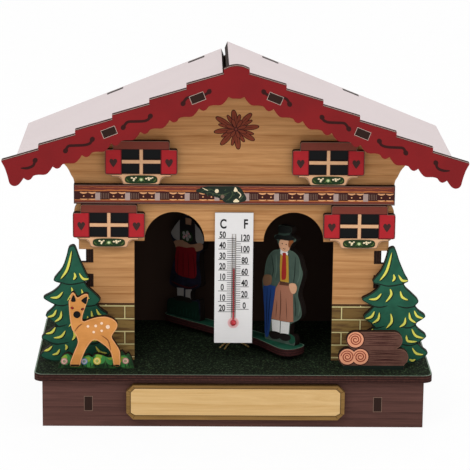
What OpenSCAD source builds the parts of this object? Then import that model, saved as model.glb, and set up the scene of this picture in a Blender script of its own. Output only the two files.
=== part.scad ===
// Weather house: a gut string turns a platform with two figures as the air gets damp or dry.
// Laser cut plywood boards, tabbed together, with a spirit thermometer between the arches.
// The front faces -Y, X runs to the right and the plinth stands on z = 0.

/* [House] */
// Width of the house across the bargeboard's tips
house_w = 200; // [194:1:208]
// Depth of the house from the bargeboard's front face to the roof's rear edge
house_d = 92; // [88:0.5:96]
// Height of the house from the table to the bargeboard's peak
house_h = 162.7; // [150:0.1:175]

/* [Boards] */
// Thickness of the plywood boards
board_t = 3.2; // [2.6:0.1:3.6]
// Play between a tab and the sides of its slot
fit_gap = 0.1; // [0.05:0.05:0.2]

/* [Plinth] */
// Width of the plinth
plinth_w = 168; // [162:1:172]
// Distance from the origin to the plinth's front face
plinth_front = 41; // [40:0.5:42.5]
// Distance from the origin to the plinth's rear face
plinth_back = 42.5; // [42:0.5:44.5]
// Height of the plinth boards
plinth_h = 21.7; // [18:0.1:30]
// Height of the tenon that each rib puts through the plinth's front and rear boards
rib_tenon_h = 6.2; // [4:0.1:10]
// Height of the rib tenon's lower edge
rib_tenon_z = 7.4; // [4:0.1:8]
// Width of the lawn board
deck_w = 175; // [173:1:182]
// Distance from the origin to the lawn board's front edge
deck_front = 44.5; // [43:0.5:45.5]
// Distance from the origin to the lawn board's rear edge
deck_back = 46; // [45:0.5:48]
// Corner radius of the lawn board
deck_corner = 4.3; // [1:0.1:8]

/* [Nameplate] */
// Width of the bare nameplate
nameplate_w = 96; // [60:1:110]
// Height of the nameplate
nameplate_h = 15.7; // [10:0.1:17]
// Cut of the nameplate's corners
nameplate_chamfer = 3; // [1:0.1:4.5]
// Height of the nameplate's lower edge
nameplate_z = 4.2; // [1:0.1:4.5]
// Offset of the nameplate's middle to the right
nameplate_x = 1; // [-3:0.5:3]

/* [Walls] */
// Distance between the middles of the two side walls
wall_span = 127.6; // [122:0.2:132]
// Distance from the origin to the front wall's front face
front_wall_y = 22; // [21:0.5:23]
// Distance from the origin to the rear wall's rear face
back_wall_y = 44; // [43.5:0.5:45]
// How far the log ends of the front and rear walls stand past the side walls
log_reach = 3.1; // [1:0.1:4]
// Number of finger joints on each corner
finger_count = 4; // [2:1:4]
// Height of one finger joint
finger_h = 5.9; // [4:0.1:7]
// Step from one finger joint to the next
finger_pitch = 11.2; // [10.5:0.1:12]
// Height of the top finger joint's upper edge above the lawn
finger_top = 50.8; // [48:0.1:53]
// Length of the tabs that hold the walls in the lawn board
wall_tab = 10; // [5:0.5:14]
// Distance from the side walls to the middles of the rear wall's tabs
back_tab_in = 22; // [10:1:40]

/* [Porch] */
// Width of the porch opening
porch_w = 88; // [84:0.5:94]
// Radius of the two arches
arch_r = 13.25; // [11:0.25:14.5]
// Distance from the middle to an arch's centre
arch_x = 26.3; // [24:0.1:28]
// Drop from the balcony's lower edge to the arches' centres
arch_drop = 17.45; // [14:0.05:20]

/* [Attic floor] */
// Height of the attic floor's underside above the balcony's lower edge
attic_up = 1.2; // [0.8:0.1:3]
// Length of the tabs that hold the attic floor in the side walls
attic_tab = 12; // [6:1:16]

/* [Roof] */
// Pitch of the roof in degrees
roof_pitch = 21.8; // [20:0.1:22.5]
// Length of the roof slope from the ridge line to the eave
roof_len = 102.5; // [96:0.5:104]
// Distance from the origin to the roof's rear edge
roof_back = 46; // [45.5:0.5:50]
// How far the right panel runs past the ridge line
right_lap = 3; // [1:0.1:4]
// How far below the ridge line the left panel starts
left_stop = 6; // [5.5:0.1:8]
// Width of the panels' front tabs, along the slope
verge_tab = 5.9; // [4:0.1:8]
// Width of the rear wall's tabs in the roof, along the slope
gable_tab = 6.9; // [4:0.1:9]
// Slope distance from the ridge line to the upper tabs
upper_tab_t = 18.4; // [14:0.1:24]
// Slope distance from the ridge line to the lower tabs
lower_tab_t = 58.8; // [45:0.1:66]

/* [Bargeboard] */
// Number of steps on each upper edge
step_count = 6; // [4:1:8]
// Height of each step
step_drop = 1.97; // [1:0.01:2.4]
// Height of the first step above the roof surface
verge_up = 4.5; // [3:0.1:6]
// How much less each further step stands up
verge_taper = 0.37; // [0.2:0.01:0.4]
// Half the width of the peak
peak_half = 5.5; // [3:0.1:8]
// Height of the peak above the first step
peak_h = 3.6; // [2:0.1:5]
// Number of scallops on each lower edge
scallop_count = 7; // [6:1:8]

/* [Front plates] */
// Width of the balcony
balcony_w = 140.8; // [120:0.2:144]
// Height of the balcony
balcony_h = 8.6; // [6:0.1:9]
// Drop from the line where the roof surfaces meet to the balcony's lower edge
gable_drop = 59.6; // [58:0.1:63]
// Width of a window with its shutters
window_w = 31.7; // [29:0.1:32]
// Width of one shutter
shutter_w = 7.4; // [5:0.1:8]
// Height of the shutters
shutter_h = 11.2; // [9:0.1:11.5]
// Width of the lintel
lintel_w = 24.8; // [21:0.1:28]
// Height of the lintel
lintel_h = 3.8; // [3:0.1:4.5]
// Depth of the flower box below the shutters
flower_box_h = 4.3; // [3:0.1:4.6]
// Width of the flower box
flower_box_w = 18.6; // [12:0.1:20]
// Width of the sill
sill_w = 26.2; // [21:0.1:28]
// Height of the sill's board
sill_h = 0.9; // [0.6:0.1:1.5]
// Depth of the black panes
pane_depth = 0.6; // [0.3:0.1:1.2]
// Width of the glazing bars
glazing_bar = 2; // [1:0.1:2.5]
// Distance from the middle to an upper window's middle
upper_window_x = 40.9; // [34:0.1:43]
// Distance from the middle to a lower window's middle
lower_window_x = 55.1; // [52:0.1:56]
// Free strip between a window and the balcony
window_gap = 0.3; // [0.1:0.1:0.6]

/* [Thermometer] */
// Width of the scale plate
scale_w = 16.9; // [14:0.1:22]
// Length of the scale plate, where the wall under the balcony has room for it
scale_len = 59.7; // [50:0.1:62]
// Thickness of the scale plate
scale_t = 1.2; // [0.9:0.1:1.6]
// Height of the scale plate's lower edge above the lawn
scale_z = 8.4; // [7:0.1:9.5]
// Outer radius of the glass tube
tube_r = 1; // [0.8:0.05:1.2]
// Radius of the tube's bore
tube_bore = 0.4; // [0.3:0.05:0.5]
// Radius of the bulb
bulb_r = 1.7; // [1.4:0.05:1.75]
// Wall of the bulb
bulb_wall = 0.3; // [0.2:0.05:0.4]
// Height of the bulb's middle above the scale plate's lower edge
bulb_up = 9.5; // [6:0.1:12]
// Length of the tube above the bulb's middle, where the scale plate has room for it
tube_len = 40.5; // [34:0.1:44]
// Height of the spirit column above the bulb's middle
spirit_len = 25; // [5:0.1:37]

/* [Weather platform] */
// Distance from the origin back to the gut
gut_y = 8; // [7.8:0.1:8.4]
// Radius of the gut
gut_r = 0.45; // [0.3:0.05:0.6]
// Play round the gut in the peg and in the platform
gut_play = 0.05; // [0.03:0.01:0.1]
// Height of the platform's underside above the lawn
platform_gap = 2.6; // [2.2:0.1:4]
// Width of the platform's arms beside the gut
arm_w = 9.2; // [7:0.1:10]
// Reach of the platform from the gut to the end under the man
platform_reach = 42.3; // [41.9:0.1:42.6]
// Reach of the platform from the gut to the end under the woman
rear_reach = 41; // [40.8:0.1:41.3]
// Angle of the man's arm from the X axis towards the front
platform_turn = 42.2; // [30:0.1:43]
// Roundness of the pad under the woman, as a share of the man's
rear_bulge = 0.76; // [0.6:0.02:0.8]
// Height of the woman, where the porch has room for it: the man is drawn to the same scale
figure_h = 60; // [50:0.5:63]
// Width of the tabs that hold the figures in the platform
figure_tab = 10; // [6:0.5:12]
// Distance from the gut to the middle of each figure's tab
figure_s = 29; // [27:0.5:31]
// Radius of the gut peg's shaft
peg_r = 3; // [2:0.1:4]
// Play between the peg and its hole in the attic floor
peg_play = 0.05; // [0.02:0.01:0.1]
// Radius of the peg's flange
flange_r = 4.6; // [4.4:0.1:7]
// Height of the peg's flange
flange_h = 2; // [1:0.1:4]
// Length of the peg's grip below the attic floor
grip_len = 6; // [4:0.5:7]
// Width of the grip across its flats
grip_w = 3.2; // [2.2:0.1:3.6]

/* [Lawn pieces] */
// Distance from the middle to a tree's trunk
tree_x = 70.6; // [70:0.1:71.5]
// Height of the trees, where the shutters above leave room for it
tree_h = 53.3; // [46:0.1:54]
// Distance from the origin to the front face of the grass strip and the log pile
strip_y = 35.2; // [32:0.1:37]
// Length of the grass strip
grass_w = 34.1; // [30:0.1:36]
// Offset of the grass strip's left end from the middle
grass_x = -77.8; // [-79:0.1:-76]
// Offset of the fawn's hooves from the middle
fawn_x = -71.7; // [-74:0.1:-70]
// Height of the fawn's hooves above the lawn
fawn_z = 1.4; // [0.2:0.1:2]
// Height of the fawn
fawn_h = 34.3; // [30:0.1:38]
// Offset of the log pile's left end from the middle
logs_x = 46.4; // [45:0.1:48]
// Width of the log pile
logs_w = 31; // [26:0.1:34]
// Height of the turf under the logs
turf_h = 1.6; // [0.8:0.1:3]
// Radius of the logs' ends
log_r = 4; // [3.6:0.05:4.1]
// Length of the tabs under the grass strip and the log pile
strip_tab = 6; // [3:0.5:8]
// Distance from the ends of the grass strip and the log pile to the middles of their tabs
strip_tab_in = 8; // [5:0.5:11]

/* [Hidden] */
$fn = 48;

// Heights from the peak down: the line where the roof surfaces meet, balcony, attic floor and arches
ridge_z = house_h - peak_h - verge_up + peak_half * tan(roof_pitch);
balcony_bottom = ridge_z - gable_drop;
attic_bottom = balcony_bottom + attic_up;
attic_top = attic_bottom + board_t;
spring_z = balcony_bottom - arch_drop;
// Heights from the table up: the lawn's surface and the platform
deck_top = plinth_h + board_t;
platform_bottom = deck_top + platform_gap;
platform_top = platform_bottom + board_t;
peg_foot = attic_bottom - grip_len;
flange_z = attic_top + fit_gap;
peg_top = flange_z + flange_h;
// Half the width across the bargeboard's tips, and the front edge of the roof panels
verge_half = house_w / 2;
roof_front = house_d - board_t - roof_back;
// Inner faces of the walls, and half the width of the front and rear walls
wall_in = wall_span / 2 - board_t / 2;
wall_out = wall_span / 2 + board_t / 2;
log_half = wall_out + log_reach;
inner_front = front_wall_y - board_t;
inner_back = back_wall_y - board_t;
// Inner faces of the plinth's front and rear boards
plinth_in_front = plinth_front - board_t;
plinth_in_back = plinth_back - board_t;
// Middles of the tabs under the walls, from the origin
front_tab_x = (porch_w / 2 + wall_in) / 2;
back_tab_x = wall_in - back_tab_in;
side_tab_y = [-inner_front + wall_tab, inner_back - wall_tab];
// Middles of the attic floor's tabs
attic_tab_y = [-inner_front + attic_tab, inner_back - attic_tab];
// Middles of the tabs under the grass strip and the log pile, from their left ends
grass_tab_x = [strip_tab_in, grass_w - strip_tab_in];
log_tab_x = [strip_tab_in, logs_w - strip_tab_in];
// Total height of a window plate, from the flower box's foot to the lintel's top
window_h = flower_box_h + shutter_h + lintel_h;
// Upper windows stand on the balcony and lower ones hang under it
upper_window_z = balcony_bottom + balcony_h + window_gap;
lower_window_z = balcony_bottom - window_gap - window_h;
// Least free height over the scale plate, over the tube on it, over a figure and over a tree
least_gap = 3;
// Lengths of the scale plate, tube and spirit column as they fit under the balcony
plate_h = min(scale_len, balcony_bottom - least_gap - deck_top - scale_z);
tube_h = min(tube_len, plate_h - bulb_up - least_gap);
spirit_h = min(spirit_len, tube_h - least_gap);
// Sizes of the figures, trees, grass and fawn as shares of their drawings
figure_size = min(figure_h, attic_bottom - least_gap - platform_top) / 60;
tree_size = min(tree_h, lower_window_z + flower_box_h - least_gap - deck_top) / 53.3;
grass_size = grass_w / 34.1;
fawn_size = fawn_h / 34.3;
// Axis of the thermometer's tube, part of it sunk in the scale plate
tube_sink = 0.4;
tube_y = -front_wall_y - scale_t - tube_r + tube_sink;
bulb_z = deck_top + scale_z + bulb_up;
// Radius of the knots at the gut's ends, and of the loose ends
knot_r = 1.1;
tail_r = 0.38;
// Height of the top knot's middle, just clear of the peg, and of the knot under the platform
top_knot_z = peg_top + knot_r + 0.3;
end_knot_z = platform_bottom - knot_r;
// How far the front gable flares past the log ends, and how far its tip ends below the roof
gable_flare = 9.5;
flare_edge = 4.5;
// How far the wall behind the lower shutters stands past the log ends, and its height
cheek_out = 2;
cheek_h = 17;
// How far a cutter reaches past the surface that it cuts
past = 1;
// Gap between the spirit and the glass
film = 0.02;
// Play of a slot against the tab in it
slot_wide = 2 * fit_gap;
// How deep a tab is rooted in its own board
tab_root = 0.6;
// Rounding of the plates' outer corners
corner_round = 1;
// Strip of the sill in front of the panes' foot
sill_trim = 0.3;

// Points of a smooth curve through the knots, without the last knot
function curve(knots, steps) =
    len(knots) == 2 ? [knots[0]] :
    [for (i = [0 : len(knots) - 2])
        let (a = knots[max(i - 1, 0)], b = knots[i], c = knots[i + 1], d = knots[min(i + 2, len(knots) - 1)])
            for (j = [0 : steps - 1])
                let (t = j / steps, bend = 2 * a - 5 * b + 4 * c - d)
                    (2 * b + (c - a) * t + bend * t ^ 2 + (3 * (b - c) - a + d) * t ^ 3) / 2];

// Closed outline from runs of knots: each run starts at a corner and curves to the next run's corner
function outline(runs, steps = 3) =
    [for (i = [0 : len(runs) - 1]) each curve(concat(runs[i], [runs[(i + 1) % len(runs)][0]]), steps)];

// The same points on the other side of the middle
function flip(points) = [for (p = points) [-p[0], p[1]]];

// The same points in reverse order
function reversed(points) = [for (i = [len(points) - 1 : -1 : 0]) points[i]];

// Points of an arc round a centre
function arc(centre, r, from, to, steps) =
    [for (i = [0 : steps]) let (a = from + (to - from) * i / steps) centre + r * [cos(a), sin(a)]];

// Height of the roof's upper surface, and of its underside, at a distance from the middle
function roof_top(x) = ridge_z - abs(x) * tan(roof_pitch);
function roof_under(x) = roof_top(x) - board_t / cos(roof_pitch);

// Upright board seen from the front: its drawing is x across and z up, with its front face at y
module facing(y, t = board_t) {
    translate([0, y + t, 0]) rotate([90, 0, 0]) linear_extrude(t) children();
}

// Upright board seen from the side: its drawing is y across and z up, with its left face at x
module sideways(x, t = board_t) {
    translate([x, 0, 0]) rotate([90, 0, 90]) linear_extrude(t) children();
}

// Drawing moved to the slope of the right or left roof half, with x down the slope
module on_slope(side) {
    mirror([side < 0 ? 1 : 0, 0]) translate([0, ridge_z]) rotate(-roof_pitch) children();
}

// Rectangle from one corner to the other
module box2(x0, y0, x1, y1) {
    translate([x0, y0]) square([x1 - x0, y1 - y0]);
}

// Plinth board with the two mortises for the ribs' tenons
module plinth_long(y) {
    color("#4a2a22") facing(y) difference() {
        box2(-plinth_w / 2, 0, plinth_w / 2, plinth_h);
        for (side = [-1, 1])
            translate([side * wall_span / 2, rib_tenon_z + rib_tenon_h / 2])
                square([board_t + slot_wide, rib_tenon_h + slot_wide], center = true);
    }
}

// Plinth board that closes an end, between the front and rear boards
module plinth_end(x) {
    color("#4a2a22") sideways(x) box2(-plinth_in_front, 0, plinth_in_back, plinth_h);
}

// Rib under the lawn, tenoned through the plinth's front and rear boards
module rib(x) {
    color("#4a2a22") sideways(x - board_t / 2) union() {
        box2(-plinth_in_front, 0, plinth_in_back, plinth_h);
        box2(-plinth_front, rib_tenon_z, plinth_back, rib_tenon_z + rib_tenon_h);
    }
}

// Slot through the lawn board for a tab of the given size
module deck_slot(x, y, wide, deep) {
    translate([x, y]) square([wide + slot_wide, deep + slot_wide], center = true);
}

// Lawn board with round corners and a slot for each tab above it
module deck() {
    color("#274a2a") translate([0, 0, plinth_h]) linear_extrude(board_t) difference() {
        polygon(concat(
            arc([deck_w / 2 - deck_corner, deck_back - deck_corner], deck_corner, 0, 90, 8),
            arc([-deck_w / 2 + deck_corner, deck_back - deck_corner], deck_corner, 90, 180, 8),
            arc([-deck_w / 2 + deck_corner, -deck_front + deck_corner], deck_corner, 180, 270, 8),
            arc([deck_w / 2 - deck_corner, -deck_front + deck_corner], deck_corner, 270, 360, 8)));
        for (side = [-1, 1]) {
            deck_slot(side * front_tab_x, -front_wall_y + board_t / 2, wall_tab, board_t);
            deck_slot(side * back_tab_x, back_wall_y - board_t / 2, wall_tab, board_t);
            for (y = side_tab_y)
                deck_slot(side * wall_span / 2, y, board_t, wall_tab);
        }
        for (x = grass_tab_x)
            deck_slot(grass_x + x, -strip_y + board_t / 2, strip_tab, board_t);
        for (x = log_tab_x)
            deck_slot(logs_x + x, -strip_y + board_t / 2, strip_tab, board_t);
    }
}

// Tab that reaches through the lawn board, in a drawing with z up
module deck_tab(x, wide) {
    box2(x - wide / 2, plinth_h, x + wide / 2, deck_top + tab_root);
}

// Bare eight-sided board on the plinth's front
module nameplate() {
    w = nameplate_w / 2;
    c = nameplate_chamfer;
    h = nameplate_h;
    half = [[w - c, 0], [w, c], [w, h - c], [w - c, h]];
    color("#d6b27a") translate([nameplate_x, 0, nameplate_z])
        facing(-plinth_front - board_t) polygon(concat(half, reversed(flip(half))));
}

// Open notches in a corner where the side wall's fingers pass, for one side of a wall
module finger_notches() {
    for (i = [0 : finger_count - 1])
        translate([0, deck_top + finger_top - i * finger_pitch])
            box2(wall_in - fit_gap, -finger_h - fit_gap, log_half + past, fit_gap);
}

// Edges of the front wall's cheek and flare, as shares of how far they stand out and of their heights
cheek_edge = [[0, -1], [0.8, -0.91], [1, -0.76], [1, -0.26], [0.7, -0.12], [0, 0]];
flare_curve = [[0, 0], [0.18, 0.1], [0.2, 0.46], [0.34, 0.6], [0.53, 0.77], [1, 1]];

// Right half of the front wall's outline: log ends, cheek behind the shutter, flare and gable
function gable_half() =
    let (foot = [log_half, balcony_bottom], tip_x = log_half + gable_flare,
        flare = [gable_flare, roof_under(tip_x) - flare_edge - balcony_bottom])
    concat([[log_half, deck_top]],
        curve([for (p = cheek_edge) foot + [p[0] * cheek_out, p[1] * cheek_h]], 3),
        curve([for (p = flare_curve) foot + [p[0] * flare[0], p[1] * flare[1]]], 3),
        [foot + flare, [tip_x, roof_under(tip_x)], [0, roof_under(0)]]);

// Front wall: two arches over one wide opening, with log ends at the corners
module front_wall() {
    half = gable_half();
    color("#dcb27c") facing(-front_wall_y) difference() {
        union() {
            polygon(concat(half, reversed(flip(half))));
            for (side = [-1, 1])
                deck_tab(side * front_tab_x, wall_tab);
        }
        box2(-porch_w / 2, deck_top - past, porch_w / 2, spring_z);
        for (side = [-1, 1])
            translate([side * arch_x, spring_z]) circle(arch_r, $fn = 96);
        finger_notches();
        mirror([1, 0]) finger_notches();
    }
}

// Rear wall: a plain gable whose tabs reach up through the roof panels
module back_wall() {
    color("#5b3a26") facing(inner_back) difference() {
        union() {
            polygon([[-log_half, deck_top], [log_half, deck_top], [log_half, roof_under(log_half)],
                [0, roof_under(0)], [-log_half, roof_under(log_half)]]);
            for (side = [-1, 1]) {
                deck_tab(side * back_tab_x, wall_tab);
                on_slope(side)
                    for (t = [upper_tab_t, lower_tab_t])
                        box2(t - gable_tab / 2, -board_t - tab_root, t + gable_tab / 2, 0);
            }
        }
        finger_notches();
        mirror([1, 0]) finger_notches();
    }
}

// Side wall with fingers at both corners and slots for the attic floor's tabs
module side_wall(side) {
    color("#dcb27c") sideways(side * wall_span / 2 - board_t / 2) difference() {
        union() {
            box2(-inner_front, deck_top, inner_back, roof_under(wall_out));
            for (i = [0 : finger_count - 1])
                translate([0, deck_top + finger_top - i * finger_pitch])
                    box2(-front_wall_y, -finger_h, back_wall_y, 0);
            for (y = side_tab_y)
                deck_tab(y, wall_tab);
        }
        for (y = attic_tab_y)
            translate([y, attic_bottom + board_t / 2])
                square([attic_tab + slot_wide, board_t + slot_wide], center = true);
    }
}

// Attic floor: its tabs sit in the side walls and its bore holds the gut peg
module attic_floor() {
    color("#c89a63") translate([0, 0, attic_bottom]) linear_extrude(board_t) difference() {
        union() {
            box2(-wall_in + fit_gap, -inner_front + fit_gap, wall_in - fit_gap, inner_back - fit_gap);
            for (y = attic_tab_y)
                box2(-wall_out, y - attic_tab / 2, wall_out, y + attic_tab / 2);
        }
        translate([0, gut_y]) circle(peg_r + peg_play);
    }
}

// Roof panel from a start along the slope to the eave, with tabs for the bargeboard
module roof_panel(side, start) {
    color("#ece9e2") mirror([side < 0 ? 1 : 0, 0, 0])
        translate([0, 0, ridge_z]) rotate([0, roof_pitch, 0]) translate([0, 0, -board_t])
            linear_extrude(board_t) difference() {
                union() {
                    box2(start, -roof_front, roof_len, roof_back);
                    for (t = [upper_tab_t, lower_tab_t])
                        box2(t - verge_tab / 2, -roof_front - board_t, t + verge_tab / 2, 0);
                }
                for (t = [upper_tab_t, lower_tab_t])
                    translate([t, back_wall_y - board_t / 2])
                        square([gable_tab + slot_wide, board_t + slot_wide], center = true);
            }
}

// Stepped upper edge of the bargeboard's right half, from the peak to the tip
function verge_steps() =
    let (run = (verge_half - peak_half) / step_count)
    [for (i = [0 : step_count - 1])
        let (x = peak_half + i * run, next = x + run)
        each [[x, roof_top(x) + verge_up - i * verge_taper],
            [next, roof_top(next) + verge_up - (i + 1) * verge_taper + step_drop]]];

// Scalloped lower edge of the bargeboard's right half, from the tip to the middle
function verge_scallops() =
    let (tip = [verge_half, roof_top(verge_half) + 3.5],
        first = tip + [-9.4, -7.1],
        last = [3.4, roof_top(3.4) - 6.4],
        pitch = (last - first) / scallop_count,
        curl = [[0, 0], [-1.4, -2.7], [-2.6, -6.5], [-3.4, -9.5], [-5.2, -10.6], [-7.3, -9.9]],
        motif = [[0, 0], [0.13, -0.9], [0.25, -0.4], [0.34, 1], [0.5, 1.5], [0.75, 1.6], [0.9, 3.2]])
    concat(curve(concat([for (p = curl) tip + p], [first]), 3),
        [for (i = [0 : scallop_count - 1])
            let (cusp = first + i * pitch)
            each curve(concat([for (p = motif) cusp + [p[0] * pitch[0], p[1]]], [cusp + pitch]), 3)],
        [last, [1.7, last[1] - 0.7], [0, last[1] - 0.7]]);

// Red verge board with stepped top, scalloped foot and a mortise for each roof tab
module bargeboard() {
    shoulder = [peak_half, roof_top(peak_half) + verge_up + peak_h - 1.6];
    crown = curve([[0, shoulder[1] + 1.6], [peak_half / 2, shoulder[1] + 1.2], shoulder], 3);
    half = concat(crown, [shoulder], verge_steps(), verge_scallops());
    color("#9b2226") facing(-roof_front - board_t) difference() {
        polygon(concat(half, reversed(flip(half))));
        for (side = [-1, 1])
            on_slope(side)
                for (t = [upper_tab_t, lower_tab_t])
                    translate([t, -board_t / 2])
                        square([verge_tab + slot_wide, board_t + slot_wide], center = true);
    }
}

// Balcony board across the front wall
module balcony() {
    color("#5a2f2a") facing(-front_wall_y - board_t)
        box2(-balcony_w / 2, balcony_bottom, balcony_w / 2, balcony_bottom + balcony_h);
}

// Four panes between the shutters, split by a cross of glazing bars
module panes() {
    pane_w = (window_w - 2 * shutter_w - glazing_bar) / 2;
    pane_h = (shutter_h - glazing_bar - sill_trim) / 2;
    for (side = [-1, 1], row = [0, 1])
        translate([side * (glazing_bar + pane_w) / 2 - pane_w / 2,
            flower_box_h + sill_trim + row * (pane_h + glazing_bar)])
            square([pane_w, pane_h]);
}

// Edge of the boat-shaped flower box, as shares of its half width and height
boat_edge = [[0.75, 0], [0.86, 0.09], [0.95, 0.76], [1.06, 0.97], [1.18, 1]];

// Right half of a window plate's outline: flower box, sill, shutter and lintel
function window_half() =
    let (w = window_w / 2, top = flower_box_h + shutter_h, sill_z = flower_box_h - sill_h, r = corner_round)
    concat([[0, 0]],
        curve([for (p = boat_edge) [p[0] * flower_box_w / 2, p[1] * sill_z]], 2),
        [[sill_w / 2, sill_z], [sill_w / 2, flower_box_h]],
        arc([w - r, flower_box_h + r], r, -90, 0, 3),
        arc([w - r, top - r], r, 0, 90, 3),
        [[lintel_w / 2, top]],
        arc([lintel_w / 2 - r, window_h - r], r, 0, 90, 3),
        [[0, window_h]]);

// Window plate with its foot at a height, its panes sunk in black
module window_plate(x, z) {
    half = window_half();
    color("#a3242b") translate([x, 0, z]) difference() {
        facing(-front_wall_y - board_t) polygon(concat(half, reversed(flip(half))));
        facing(-front_wall_y - board_t - past, past + pane_depth) panes();
    }
}

// Right half of a tree from its foot to its top: each run is one bough, from notch to notch
tree_outer = [
    [[10.5, 0], [14.6, 2.6], [16.4, 4.8], [14, 7]],
    [[11.8, 9.3], [14.6, 11.3], [15.4, 13], [12, 15.8]],
    [[10.2, 18.2], [13.6, 20.4], [14.8, 22], [11.9, 24.2]],
    [[10, 26.5], [11.6, 28.8], [8.5, 32.2], [5.8, 34.7]],
    [[4.7, 36.8], [6.8, 37.9], [5.4, 40.6], [2.8, 46.6], [0.7, 52.6]],
];
// Left half of a tree from its top to its foot
tree_inner = [
    [[-0.7, 53.3], [-2.3, 52.3], [-3.4, 48], [-5.3, 42.8], [-8.8, 38.3], [-8.4, 36.9]],
    [[-5.9, 36.1], [-7, 34.2], [-10, 31.7], [-13.6, 29.6], [-11.4, 27.7]],
    [[-8.3, 26.1], [-10, 24.2], [-12.7, 21.2], [-9.4, 18.4]],
    [[-7.6, 16.5], [-11.5, 14], [-14.6, 11.2], [-12.8, 9.6]],
    [[-10.2, 7.6], [-13, 5.4], [-15.2, 2.9], [-13.4, 1.2]],
    [[-9.6, 0]],
];

// Fir tree cut from one plate, glued to the front wall's corner
module tree(side) {
    color("#1f5a35") translate([side * tree_x, 0, deck_top])
        facing(-front_wall_y - board_t) scale(tree_size) polygon(outline(concat(tree_outer, tree_inner)));
}

// Blades and leaves along the top of the grass strip, from its left end
grass_runs = [
    [[0, 0], [1, 2.2], [2.1, 5], [3.7, 6.4], [5.2, 6.7], [6.6, 5.9]],
    [[6.9, 4.4], [9, 4.9], [11.4, 4.4]],
    [[12.4, 5.7], [14, 6.1]],
    [[15.4, 4.9], [16.4, 6.1], [18, 6.5], [20.8, 5.8]],
    [[22, 4.7], [24.4, 5.3], [27.6, 6.9]],
    [[28.6, 8.2], [29.7, 6.8]],
    [[30.3, 6.1], [31.6, 6.9]],
    [[32.9, 4.6], [33.8, 1.6]],
    [[34.1, 0]],
];

// Grass with flowers, tabbed into the lawn board
module grass_strip() {
    color("#2f6b3a") translate([grass_x, 0, 0]) facing(-strip_y) union() {
        translate([0, deck_top]) scale(grass_size) polygon(reversed(outline(grass_runs)));
        for (x = grass_tab_x)
            deck_tab(x, strip_tab);
    }
}

// Fawn's outline from its front hooves: head, chest and legs, then the back
fawn_runs = [
    [[0, 0.5], [0, 2.6], [1.6, 6.9], [3.3, 11.5], [2.4, 14.8], [1, 17]],
    [[0.4, 18.9], [-0.1, 22.5], [-0.5, 27.8], [-0.5, 30.4]],
    [[0.2, 31.3], [0.2, 33], [1.3, 34.3]],
    [[2.3, 33.4], [2.9, 32.2], [3.7, 32]],
    [[5.2, 33], [6.8, 33.6], [7.9, 33.3], [8, 31.4], [6.9, 28.1], [5.7, 24.4], [5.3, 21.6]],
    [[6.3, 21.1], [10.5, 22.7], [15, 23.3], [18.6, 22.3], [20.6, 20.2], [20.3, 17.8], [18.2, 14.3],
        [19.6, 11.4], [21.6, 8], [21.9, 5], [21.9, 1.6], [20.8, 0.4]],
    [[19, 1], [18.4, 4.2], [17.4, 7.6], [14.4, 10.6], [10.6, 12.7], [7.6, 9.6], [5.2, 4.4]],
    [[4.3, 1.2], [3.4, 0.5]],
];

// Fawn glued to the grass strip's front
module fawn() {
    color("#d9924a") translate([fawn_x, 0, deck_top + fawn_z]) facing(-strip_y - board_t)
        scale(fawn_size) polygon(outline(fawn_runs));
}

// Lying log in a drawing: a bar with round ends between two centres
module log_shape(x0, x1, z) {
    box2(x0, z - log_r, x1, z + log_r);
    for (x = [x0, x1])
        translate([x, z]) circle(log_r);
}

// Pile of three logs cut from one plate, tabbed into the lawn board
module log_pile() {
    low_z = turf_h + log_r;
    color("#7a4a34") translate([logs_x, 0, 0]) facing(-strip_y) union() {
        translate([0, deck_top]) {
            log_shape(log_r, logs_w - log_r, low_z);
            log_shape(1.85 * log_r, logs_w - 1.7 * log_r, low_z + 1.95 * log_r);
            box2(0.55 * log_r, 0, logs_w - 0.45 * log_r, low_z);
        }
        for (x = log_tab_x)
            deck_tab(x, strip_tab);
    }
}

// White scale plate with a groove for the tube and a hole for the bulb
module thermometer_plate() {
    color("#f4f4f2") difference() {
        facing(-front_wall_y - scale_t, scale_t)
            box2(-scale_w / 2, deck_top + scale_z, scale_w / 2, deck_top + scale_z + plate_h);
        translate([0, tube_y, bulb_z]) cylinder(r = tube_r + fit_gap, h = tube_h + fit_gap);
        translate([0, -front_wall_y + past, bulb_z]) rotate([90, 0, 0])
            cylinder(r = bulb_r + fit_gap, h = scale_t + 2 * past);
    }
}

// Half profile of the bulb and stem round the tube's axis, from the foot to the round top
function stem(bulb, r, top) =
    concat(arc([0, 0], bulb, -90, 90 - asin(r / bulb), 14), arc([0, top - r], r, 0, 90, 5));

// Glass bulb and tube, hollow
module thermometer_tube() {
    color("#e8eef0") translate([0, tube_y, bulb_z]) rotate_extrude()
        polygon(concat(stem(bulb_r, tube_r, tube_h),
            reversed(stem(bulb_r - bulb_wall, tube_bore, tube_h - tube_r))));
}

// Red spirit that fills the bulb and part of the bore
module spirit_column() {
    color("#c8202a") translate([0, tube_y, bulb_z]) rotate_extrude()
        polygon(concat(stem(bulb_r - bulb_wall - film, tube_bore - film, spirit_h), [[0, 0]]));
}

// Edges of an arm, of its round pad and back to the gut, as shares of the reach and of the arm's half width
arm_edge = [[0, -1], [0.24, -0.91], [0.43, -0.94]];
pad_edge = [[0.638, -1.43], [0.78, -1.83], [0.882, -1.96], [0.953, -1.7], [0.991, -1.04]];
back_edge = [[1, -0.33], [0.981, 0.39], [0.922, 0.78], [0.71, 0.87], [0.43, 0.91], [0.24, 0.98], [0, 1]];

// Half of the platform's S shape, from one side of the gut round the pad to the other side
function platform_half(reach, bulge) =
    let (edge = concat(arm_edge, [for (p = pad_edge) [p[0], p[1] * bulge]], back_edge))
    curve([for (p = edge) [p[0] * reach, p[1] * arm_w / 2]], 4);

// What hangs on the gut, in a frame where the man's arm lies along X and the figures face -Y
module on_gut() {
    translate([0, gut_y, 0]) rotate(-platform_turn) children();
}

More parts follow.
